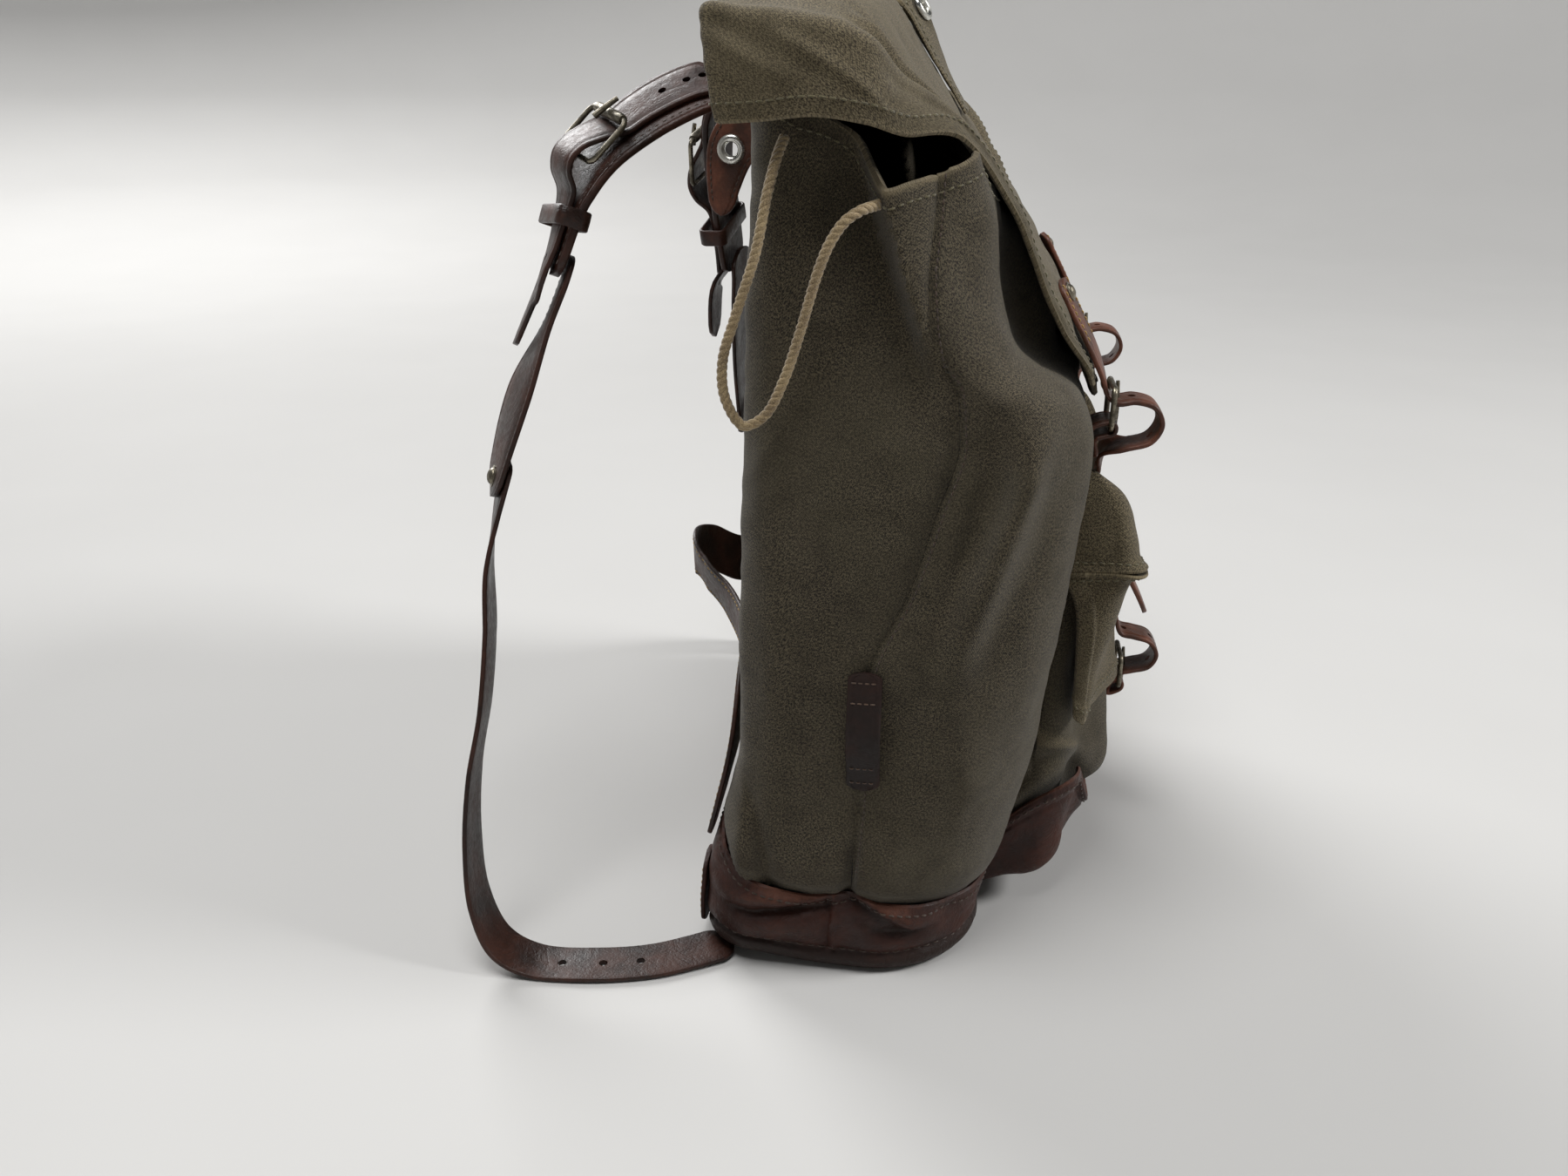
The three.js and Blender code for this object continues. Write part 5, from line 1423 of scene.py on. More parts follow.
@dataclass
class Lid:
    """The canvas lid with its side ears, and the open sleeve sewn on it."""

    canvas: float = 2.0
    hem: float = 9.0
    fold_at: float = 0.8
    ridge_at: float = 0.79
    centre: Place = (-20.0, 0.0, 380.0)
    ribs: Table = Table(
        "flat mid_x mid_z fold_x fold_y fold_z hem_x hem_y hem_z",
        (2.4, -60.5, 445, -56, 174, 444, -54, 187, 433), (2.4, -70, 480, -64, 184, 474, -57, 193, 432),
        (2.4, -52, 496, -46, 187, 474, -38, 195, 433), (2.4, -22, 501, -20, 188, 470, -16, 196, 435),
        (2.4, 3, 488, 5, 184, 463, 6, 193, 432), (2.4, 25, 456, 19, 172, 447, 22, 182, 427),
        (3, 49.5, 419, 46, 150, 429, 47, 156, 424), (4.5, 80, 379, 71, 134, 395, 72, 138, 390),
        (5, 101, 346, 93.5, 126, 347, 94.5, 130, 342), (5, 117, 311, 111, 120, 322, 112, 124, 318),
        (5, 122, 292, 115, 114, 312, 116, 118, 309),
    )
    crumple: Waves = ((1.5, 66, 21), (0.6, 27, 22), (0.2, 11, 23))
    pulls: Table = Table(
        "first last start slant height",
        (0.7, 2.9, 0.12, 0.26, 1.0), (1.2, 3.6, 0.06, 0.24, -0.9), (2.3, 4.8, 0.1, 0.3, 1.0),
        (0.5, 2.2, 0.5, 0.2, -0.8),
    )
    pleats: Table = Table("at width height", (0.71, 0.022, 2.6), (0.75, 0.022, -3.0), (0.665, 0.025, -1.6))
    sleeve_y: float = 60.0
    sleeve_half: float = 30.0
    sleeve_ribs: Pair = (3.95, 5.75)
    sleeve_clear: float = 1.2
    sleeve_arch: Pair = (10.0, 2.0)
    sleeve_crumple: Waves = ((0.8, 30, 31), (0.25, 12, 32))
    eyelet_rib: float = 4.27
    eyelet_share: float = 0.24

    def point(self, rib: Array, across: Array) -> Array:
        """Points of the lid at rib numbers and shares across it."""
        rib, across = np.broadcast_arrays(np.asarray(rib, float), np.asarray(across, float))
        r = {c: self.ribs.read(c, rib) for c in self.ribs.columns}
        reach = np.abs(across)
        s = np.clip(reach / self.fold_at, 0, 1)
        e = np.clip((reach - self.fold_at) / (1 - self.fold_at), 0, 1)
        drop = s ** r["flat"]
        x = mix(mix(r["mid_x"], r["fold_x"], drop), r["hem_x"], e)
        y = mix(r["fold_y"] * s, r["hem_y"], np.sqrt(e) * (s >= 1))
        z = mix(mix(r["mid_z"], r["fold_z"], drop), r["hem_z"], e)
        return np.stack([x, np.sign(across) * y, z], axis=-1)

    def on(self, rib: Array, y: Array) -> tuple[Array, Array]:
        """Points of the lid at rib numbers and distances from its middle, and the directions out of it."""
        across = y / self.ribs.read("fold_y", rib) * self.fold_at
        p = self.point(rib, across)
        t = self.point(rib + 0.05, across) - p
        a = self.point(rib, across + 0.01) - p
        return p, unit(np.cross(t, a))

    def on_sleeve(self, rib: Array, share: Array) -> Array:
        """Points of the sleeve's outer skin at rib numbers and shares across it."""
        first, last = self.sleeve_ribs
        p, n = self.on(rib, self.sleeve_y + self.sleeve_half * (2 * share - 1))
        arch = mix(*self.sleeve_arch, smooth((rib - first) / (last - first))) * np.sin(math.pi * share)
        return p + n * (self.sleeve_clear + self.canvas + arch)[..., None]

    def build(self, shop: Workshop) -> None:
        """Make the lid, its sleeve and eyelet, and their stitching."""
        seams = Form()
        stops = ((0, 0.6, 40, False), (0.6, 0.84, 34, False), (0.84, 1, 22, True))
        half = np.concatenate([np.linspace(*stop) for stop in stops])
        across = np.concatenate([-half[:0:-1], half])[None, :]
        last_rib = len(self.ribs) - 1
        rib = np.linspace(0, last_rib, 170)[:, None]
        grid = self.point(rib, across)
        out = grid_normals(grid, self.centre)
        reach = np.abs(across)
        ear = np.clip((reach - self.fold_at) / (1 - self.fold_at), 0, 1)
        ear_ribs = smooth((rib - 0.2) / 1.2) * smooth((6.2 - rib) / 1.6)
        belly = 2.2 * np.sin(math.pi * ear) * ear_ribs
        ridge = 2.4 * hump(reach - self.ridge_at, 0.03) * smooth((rib - 0.4) / 0.8) * smooth((7.5 - rib) / 2)
        slope = smooth((rib - 3.4) / 0.8) * smooth((7.4 - rib) / 1.4)
        pleat = slope * sum(height * hump(reach - at, width) for at, width, height in self.pleats.rows)
        from_edge = np.minimum((1 - reach) / (1 - self.fold_at) * 40, (last_rib - rib) * 22)
        calm = 0.35 + 0.65 * smooth(from_edge / 30)
        pulls = np.zeros(grid.shape[:2])
        for first, last, start, slant, height in self.pulls.rows:
            taut = smooth((rib - first + 0.3) / 0.6) * smooth((last - rib) / 0.8)
            pulls = pulls + height * hump(ear - start - slant * (rib - first), 0.09) * taut
        pulls = pulls * (ear > 0) * smooth(ear / 0.15)
        raised = belly + ridge + pleat + pulls + uneven(grid, self.crumple) * calm
        grid = grid + out * raised[..., None]
        side_edge = np.minimum(
            np.linalg.norm(grid - grid[:, :1], axis=2), np.linalg.norm(grid - grid[:, -1:], axis=2)
        )
        front_edge = np.linalg.norm(grid - grid[-1:], axis=2)
        to_edge = np.minimum(side_edge, front_edge)
        hem = smooth((self.hem - to_edge) / 1.5)
        ridge_wear = 0.4 * hump(reach - self.ridge_at, 0.018) * smooth((rib - 0.4) / 0.8)
        pleat_wear = 0.35 * slope * hump(reach - self.pleats["at"][0], 0.012)
        hem_wear = 0.55 * hump(to_edge, 2.2) + 0.15 * hump(to_edge - self.hem, 2.0)
        wear = hem_wear + ridge_wear + pleat_wear
        grid = grid + out * (hem * 0.5)[..., None]
        form = Form()
        out = form.sheet(grid, self.canvas + 0.7 * hem, self.centre, wear)
        # The lid's cloth takes the lighter canvas copy, painted light for its up-facing faces.
        shop.settle(form, Finish.SUNNED, "cloth", "lid_canvas")
        for edge in (Edge.FIRST_COLUMN, Edge.LAST_COLUMN, Edge.LAST_ROW):
            seams.stitches(*beside(grid, out, edge, self.hem - 1.8))
        self.build_sleeve(shop, seams)
        shop.sew(seams, Finish.OLIVE, "lid_stitching")

    def build_sleeve(self, shop: Workshop, seams: Form) -> None:
        """Make the sleeve with its hemmed mouth, and the eyelet on its flank."""
        share = np.linspace(0, 1, 54)[None, :]
        rib = np.linspace(*self.sleeve_ribs, 64)[:, None]
        rib, share = np.broadcast_arrays(rib, share)
        grid = self.on_sleeve(rib, share)
        out = grid_normals(grid, self.centre)
        sag = smooth((rib - self.sleeve_ribs[0]) / 0.4)
        grid = grid + out * (sag * uneven(grid, self.sleeve_crumple))[..., None]
        mouth = np.linalg.norm(grid - grid[:1], axis=2)
        flank = np.minimum(share, 1 - share)
        hem = smooth((7 - mouth) / 1.5)
        wear = 0.95 * hump(mouth, 2.5) + 0.5 * hump(flank, 0.03) + 0.3 * hump(share - 0.5, 0.08)
        form = Form()
        out = form.sheet(grid, self.canvas * 0.8 + hem, self.centre, wear)
        # The sleeve takes the lighter canvas copy, painted light.
        shop.settle(form, Finish.SUNNED, "cloth", "lid_sleeve")
        for edge in (Edge.FIRST_COLUMN, Edge.LAST_COLUMN):
            seams.stitches(*beside(grid, out, edge, 3.2))
        seams.stitches(*beside(grid, out, Edge.FIRST_ROW, 5.6))
        at = lambda rib, share: self.on_sleeve(np.array([rib]), np.array([share]))[0]
        p = at(self.eyelet_rib, self.eyelet_share)
        t = at(self.eyelet_rib + 0.1, self.eyelet_share) - p
        a = at(self.eyelet_rib, self.eyelet_share + 0.06) - p
        n = unit(np.cross(t, a))
        form = Form()
        grommet(form, p + n * 0.8, n, 8.0, 3.8, 2.4)
        shop.settle(form, Finish.BRIGHT, "ring", "sleeve_eyelet")


POCKET_COLUMNS = "end_z front_z dip end corner middle half bend reach"


@dataclass
class Pocket:
    """The front pocket: a canvas body with a leather foot, and a flap of a top and a skirt."""

    sack: Sack
    canvas: float = 2.0
    leather: float = 2.4
    centre: Place = (90.0, 0.0, 130.0)
    hem: float = 9.0
    panel_clear: float = 1.4
    base_clear: float = 6.0
    base_top: float = 57.0
    end_turn: float = 0.3
    corner_turn: float = 0.62
    crumple: Waves = ((1.3, 48, 41), (0.5, 20, 42))
    foot_lumps: Waves = ((1.1, 36, 43), (0.4, 13, 44))
    flap_crumple: Waves = ((1.1, 42, 51), (0.45, 17, 52))
    foot: Table = Table(
        POCKET_COLUMNS,
        (12, 12, 0, 0, 91, 93, 99, 6, 70), (14, 23, 2, 0, 117, 119.5, 116, 16, 78),
        (36, 54, 14, 0, 123.5, 130, 119, 18, 78), (53, 83, 30, 0, 129.5, 138, 120, 20, 78),
    )
    wall: Table = Table(
        POCKET_COLUMNS,
        (46, 62, 22, 0, 118, 122, 115, 20, 60), (66, 92, 24, 0, 122.5, 144, 116, 22, 60),
        (100, 112, 4, 0, 122.5, 147, 117, 20, 48), (140, 146, 0, 0, 120.5, 141.5, 114, 16, 56),
        (185, 186, 0, 0, 124, 131, 111, 12, 76), (222, 220, 0, 0, 124, 121.5, 108, 8, 90),
    )
    flap_top: Table = Table(
        POCKET_COLUMNS,
        (262, 262, 0, 0, 123, 119.5, 112, 3, 101), (250, 249, 0, 0, 137, 119.5, 116, 7, 101),
        (232, 231, 0, 0, 145, 123.5, 120, 10, 101), (212, 213, 0, 0, 149, 133, 123, 12, 101),
    )
    flap_skirt: Table = Table(
        POCKET_COLUMNS,
        (210.5, 211.5, 0, 108, 149.4, 133.6, 123.4, 12, 101), (192, 194, 0, 117, 142.5, 141, 124, 14, 98),
        (164, 158, 0, 119.5, 134, 147, 122, 12, 44), (128, 122, 0, 120, 126.5, 150.5, 120, 6, 48),
    )

    def grid(self, rows: Table, count: int) -> tuple[Array, Array, Array]:
        """The skin of one part of the pocket.

        Args:
            rows: Its outlines, from first to last.
            count: The rows of points to make.

        Returns:
            The grid, and its row numbers and shares across as arrays that fit it.
        """
        number = np.linspace(0, len(rows) - 1, count)[:, None]
        stops = ((0, 0.15, 18), (0.15, 0.31, 26), (0.31, 0.36, 14), (0.36, 0.5, 24))
        share = mirrored_shares(*stops)[None, :]
        r = {c: rows.read(c, number) for c in rows.columns}
        s = np.minimum(share, 1 - share) * 2
        over_base = smooth((self.base_top - r["end_z"]) / 15)
        end_x = self.sack.panel_x(r["end_z"], r["half"]) + mix(self.panel_clear, self.base_clear, over_base)
        end_x = np.maximum(end_x, r["end"])
        corner_x = r["corner"] - r["bend"]
        on_front, on_end = s >= self.corner_turn, s < self.end_turn
        angle = np.clip((s - self.end_turn) / (self.corner_turn - self.end_turn), 0, 1) * math.pi / 2
        flat = r["half"] - r["bend"]
        y = flat * (1 - (s - self.corner_turn) / (1 - self.corner_turn))
        y = np.where(on_front, y, flat + r["bend"] * np.cos(angle))
        inward = (flat - y) / np.maximum(flat - r["reach"], 1.0)
        x = mix(r["corner"], r["middle"], smooth(inward))
        x = np.where(on_front, x, corner_x + r["bend"] * np.sin(angle))
        x = np.where(on_end, mix(end_x, corner_x, s / self.end_turn), x)
        forward = 1 - (1 - np.clip((x - end_x) / np.maximum(1, r["corner"] - end_x), 0, 1)) ** 1.7
        z = mix(r["end_z"], r["front_z"], forward) - r["dip"] * smooth(inward) * on_front
        points = np.stack([x, np.where(share < 0.5, -1, 1) * y, z], axis=-1)
        return (points, *np.broadcast_arrays(number, share))

    def front_x(self, z: Array) -> Array:
        """Where the middle of the body's front stands at a height."""
        return through(self.wall["front_z"] - self.wall["dip"], self.wall["middle"], z)

    def build(self, shop: Workshop) -> None:
        """Make the body, the leather foot and the flap, and their stitching."""
        seams = Form()
        grid, number, share = self.grid(self.wall, 110)
        out = grid_normals(grid, self.centre)
        s = np.minimum(share, 1 - share) * 2
        along = number - 3.0 * (0.5 - s)
        fold = 2.6 * hump(along - 1.6, 0.3) - 2.4 * hump(along - 1.0, 0.3)
        fold = fold * smooth(s / 0.2) * smooth((0.8 - s) / 0.3) * smooth((number - 0.3) / 0.5)
        crumple = uneven(grid, self.crumple)
        puff = 3.2 * hump(number - 1.0, 0.4) * smooth((number - 0.3) / 0.3)
        grid = grid + out * (fold + puff + crumple * smooth((number - 0.15) / 0.6))[..., None]
        hem = smooth((number - 4.75) / 0.08)
        wear = 0.9 * hump(number - 5, 0.08) + np.clip(fold / 4, 0, 0.6)
        form = Form()
        # The body is darker towards its foot.
        form.sheet(grid, self.canvas + 0.8 * hem, self.centre, wear, 0.35 * smooth((1.6 - number) / 1.2))
        shop.settle(form, Finish.CANVAS, "cloth", "pocket_canvas")

        grid, number, _ = self.grid(self.foot, 70)
        out = grid_normals(grid, self.centre)
        lumps = uneven(grid, self.foot_lumps)
        rolled = 1.2 * hump(number - 2.85, 0.1) - 0.8 * hump(number - 2.6, 0.06)
        grid = grid + out * (lumps * smooth((3 - number) / 0.5) * smooth(number / 0.5) + rolled)[..., None]
        wear = 0.8 * hump(number - 3, 0.06) + 0.3 * hump(number - 1.0, 0.25)
        form = Form()
        # The leather foot is darker towards its lowest rows.
        out = form.sheet(grid, self.leather, self.centre, wear, 0.5 * smooth((0.9 - number) / 0.6))
        shop.settle(form, Finish.BASE, "foot", "pocket_leather")
        thread = Form()
        thread.stitches(*beside(grid, out, Edge.LAST_ROW, 5.0), Stitch.LEATHER)
        shop.sew(thread, Finish.DARK, "pocket_foot_stitching")
        self.build_flap(shop, seams)
        shop.sew(seams, Finish.OLIVE, "pocket_stitching")

    def build_flap(self, shop: Workshop, seams: Form) -> None:
        """Make the flap's top and skirt, joined in a seam that stands out at the corners."""
        parts = (("flap_top", self.flap_top, 70), ("flap_skirt", self.flap_skirt, 90))
        for node, rows, count in parts:
            grid, number, share = self.grid(rows, count)
            out = grid_normals(grid, self.centre)
            s = np.minimum(share, 1 - share) * 2
            top = node == "flap_top"
            last = len(rows) - 1
            from_seam = (last - number) if top else number
            corner = hump(s - 0.46, 0.14)
            seam = hump(from_seam, 0.11)
            dog_ear = 4.0 * corner * hump(from_seam, 0.22)
            crumple = uneven(grid, self.flap_crumple)
            calm = smooth(from_seam / 0.4) * (0.3 + 0.7 * smooth(s / 0.25))
            grid = grid + out * (dog_ear + seam * 1.2 + crumple * calm)[..., None]
            if top:
                wear = 0.5 * hump(from_seam, 0.06) + 0.35 * hump(s - 0.62, 0.05)
                thick = self.canvas
            else:
                from_end = np.minimum(*(np.linalg.norm(grid - grid[:, [k]], axis=2) for k in (0, -1)))
                ear_hem = smooth((self.hem - from_end) / 1.2) * smooth((number - 0.1) / 0.2)
                low_hem = smooth((number - (last - 0.28)) / 0.05)
                hem = np.maximum(ear_hem, low_hem)
                grid = grid + out * (1.2 * ear_hem + 0.7 * low_hem)[..., None]
                wear = 0.5 * hump(from_end - self.hem, 1.2) + 0.5 * hump(last - number, 0.07) + 0.5 * seam
                wear = wear + 0.3 * corner * smooth((1.5 - number) / 1.5)
                thick = self.canvas + 1.2 * hem
            form = Form()
            out = form.sheet(grid, thick, self.centre, wear)
            # The flap takes the lighter canvas copy, painted light for its up-facing faces.
            shop.settle(form, Finish.SUNNED, "cloth", node)
            seams.stitches(*beside(grid, out, Edge.LAST_ROW if top else Edge.FIRST_ROW, 4.2))
            if not top:
                seams.stitches(*beside(grid, out, Edge.LAST_ROW, 6.5))


def hoop(form: Form, path: Array, axis: Array, depth: float, thickness: float) -> None:
    """Add a flat leather loop round a closed path, as deep along an axis as it is wide."""
    t = unit(np.roll(path, -1, axis=0) - np.roll(path, 1, axis=0))
    out = np.cross(t, axis)
    h, d, r = thickness / 2, depth / 2, thickness * 0.3
    right = [(d - r, h), (d, h - r), (d, r - h), (d - r, -h)]
    left = [(-across, up) for across, up in reversed(right)]
    size = np.array([*right, *left, (0, h * 1.1)])
    sections = path[:, None] + axis * size[:, 0, None] + out[:, None] * size[:, 1, None]
    form.tube(sections, closed=True, wear=np.abs(size[:, 1])[None, :] / h * 0.4)


@dataclass
class SideTabs:
    """The leather tabs on the side seams, sewn down at both ends."""

    sack: Sack
    x: float = 12.0
    foot: float = 116.0
    top: float = 182.0
    width: float = 17.0
    bow: float = 8.0
    leather: float = 2.4
    lap: float = 1.6
    sewn_at: Numbers = (0.08, 0.23, 0.77, 0.92)

    def build(self, shop: Workshop) -> None:
        """Make both tabs and sew their ends."""
        thread = Form()
        for side in Side:
            s = np.linspace(0, 1, 15)
            z = mix(self.foot, self.top, s)
            bow = self.bow * np.sin(math.pi * s) ** 2
            fold = np.maximum(0, self.sack.fold(np.full(z.shape, self.x), z))
            skin = self.sack.sections.read("half", z, "z") + fold
            y = side.value * (skin + self.lap + self.leather / 2 + bow)
            rows = Table("y z", *zip(y, z), x=self.x, width=self.width)
            route = Route(rows, hint=(side.value, 0, 0))
            node = f"side_tab_{side.word}"
            shop.strap(route, Finish.TAB, node, self.leather, steps=70, crown=0.5, tips=(4, 4))
            for share in self.sewn_at:
                frames = route.at([share] * 8)
                line = frames.point(np.linspace(-0.34, 0.34, 8) * self.width, self.leather / 2 - 0.1)
                thread.stitches(line, frames.n, Stitch.SIDE_TAB)
        shop.sew(thread, Finish.BROWN, "side_tab_stitching")


@dataclass(frozen=True)
class Closing:
    """A strap that closes a flap: its route, ends, holes and sewn part, and its buckle, chape and rivet."""

    route: Table
    steps: int
    tip: float
    holes: Numbers
    sewn: tuple[float, float, int]
    buckle: Four
    chape: Pair
    rivet_at: float | None = None


@dataclass
class FrontStraps:
    """The straps that close the lid and the pocket flap, with their buckles and chapes."""

    sack: Sack
    pocket: Pocket
    leather: float = 2.4
    chape_leather: float = 2.0
    wire: float = 1.5
    lap: float = 1.4
    lid_y: float = 100.0
    width: float = 22.0
    chape_width: float = 24.0
    rivet_size: Pair = (5.0, 2.6)
    lid_closing: Closing = Closing(
        Table(
            "x z lean inward",
            (96.9, 357, 11, 0), (103.4, 345, 11, 0), (110.7, 332, 10, 0), (117.2, 319.5, 8, 0),
            (122, 308, 4, 0), (123.4, 302, 0, 0), (129, 297.5, 0, 0), (138, 298.5, 0, 0),
            (148, 295.5, 0, 0), (152, 287, 0, 0), (147.5, 278, 0, 0), (136, 274, 0, 0), (127, 270, 0, 6),
            (124.6, 262, 0, 12), (124.6, 250, 0, 17), (127.5, 233, 0, 19), (137.5, 214, 0, 21),
            (147.5, 195, 0, 23), (155, 181, 0, 24), (159, 172, 0, 24),
        ),
        steps=190,
        tip=15,
        holes=(0.36, 0.44, 0.52, 0.7, 0.79, 0.88),
        sewn=(0.005, 0.13, 16),
        buckle=(126.4, 295.0, 32.0, 24.0),
        chape=(266.0, 296.0),
        rivet_at=0.03,
    )
    pocket_closing: Closing = Closing(
        Table(
            "x z",
            (145.6, 188), (150.2, 162), (153.2, 140), (157, 129), (165, 127), (175, 124), (180, 115.5),
            (176, 107), (166, 103.5), (158.5, 101), (153.4, 93.5), (151.8, 82),
            lean=0,
            inward=0,
        ),
        steps=130,
        tip=14,
        holes=(0.3, 0.46, 0.62, 0.9),
        sewn=(0.01, 0.14, 14),
        buckle=(158.2, 104.0, 32.0, 23.0),
        chape=(93.0, 118.0),
    )

    def route(self, rows: Table, y: float) -> Route:
        """A strap seen from the side, set at a place across the front."""
        side = math.copysign(1, y)
        made = [(x, y - side * inward, z, self.width, side * lean) for x, z, lean, inward in rows.rows]
        return Route(Table("x y z width lean", *made))

    def buckle(self, form: Form, size: Four, y: float) -> None:
        """Add a wire frame with its prong, which goes through the strap."""
        x, z, width, height = size
        across, up, out = np.eye(3)[[1, 2, 0]]
        centre = np.array([x, y, z])
        inner = width - 2 * self.wire, height - 2 * self.wire
        form.wire(rounded_frame(*inner, 4.2, centre, across, up), self.wire, 12, closed=True)
        low = centre - up * inner[1] / 2
        stops = ((0, -2.6), (2.6, -1.2), (3.2, 3), (3.4, 10), (2.6, height - self.wire))
        rows = Table("x y z", *(low + out * o + up * h for o, h in stops))
        form.wire(Route(rows).line(np.linspace(0, 1, 24)), np.linspace(1.35, 1.0, 24), 10)

    def chape(self, closing: Closing, skin: Array, y: float) -> Route:
        """The leather that holds a buckle: up from its foot, over the lower bar and down again."""
        x, z, _, height = closing.buckle
        bar = z - height / 2 + self.wire
        foot_x, turn_x = skin + self.lap + 1.2
        foot = closing.chape[0]
        made = (
            (foot_x, foot),
            (mix(foot_x, turn_x, 0.5), mix(foot, bar, 0.5)),
            (turn_x + 0.3, bar - 1),
            (x - 1.5, bar + 2.9),
            (x + 2.4, bar + 1.9),
            (x + 2.2, bar - 2.2),
            (turn_x + 3.6, bar - 6),
            (foot_x + 3.0, mix(foot, bar, 0.35)),
            (foot_x + 2.8, foot + 1.5),
        )
        return Route(Table("x z", *made, y=y, width=self.chape_width))

    def close(self, shop: Workshop, thread: Form, closing: Closing, name: str, y: float, skin: Array) -> None:
        """Make one strap with what holds it.

        Args:
            shop: Where the pieces are made.
            thread: The stitching to add to.
            closing: The strap's sizes.
            name: The names of its solids, with a gap for what each is.
            y: Its place across the front.
            skin: Where the cloth stands at the two heights of the chape.
        """
        route = self.route(closing.route, y)
        shop.strap(
            route, Finish.TAN, name.format("strap"), self.leather, steps=closing.steps, crown=0.25,
            tips=(7, closing.tip), holes=closing.holes, bore=2.1,
        )
        if closing.rivet_at is not None:
            held = route.at([closing.rivet_at])
            form = Form()
            rivet(form, held.point(0, self.leather / 2)[0], held.n[0], *self.rivet_size)
            shop.settle(form, Finish.AGED, "head", name.format("rivet"))
        chape, node = self.chape(closing, skin, y), name.format("chape")
        shop.strap(chape, Finish.TAN, node, self.chape_leather, steps=60, crown=0.0, tips=(0, 5))
        form = Form()
        self.buckle(form, closing.buckle, y)
        shop.settle(form, Finish.AGED, "wire", name.format("buckle"))
        sewn = route.at(np.linspace(*closing.sewn))
        thread.edge_stitches(sewn, 0.14 * self.width, self.leather / 2 - 0.2, Stitch.CLOSING)

    def build(self, shop: Workshop) -> None:
        """Make the straps of the lid on both sides, then the strap of the pocket."""
        thread = Form()
        heights = np.array(self.lid_closing.chape)
        for side in Side:
            y = side.value * self.lid_y
            skin = self.sack.panel_x(heights, np.full(2, y))
            self.close(shop, thread, self.lid_closing, f"lid_{{}}_{side.word}", y, skin)
        skin = self.pocket.front_x(np.array(self.pocket_closing.chape))
        self.close(shop, thread, self.pocket_closing, "pocket_{}", 0.0, skin)
        shop.sew(thread, Finish.YELLOW, "front_strap_stitching")


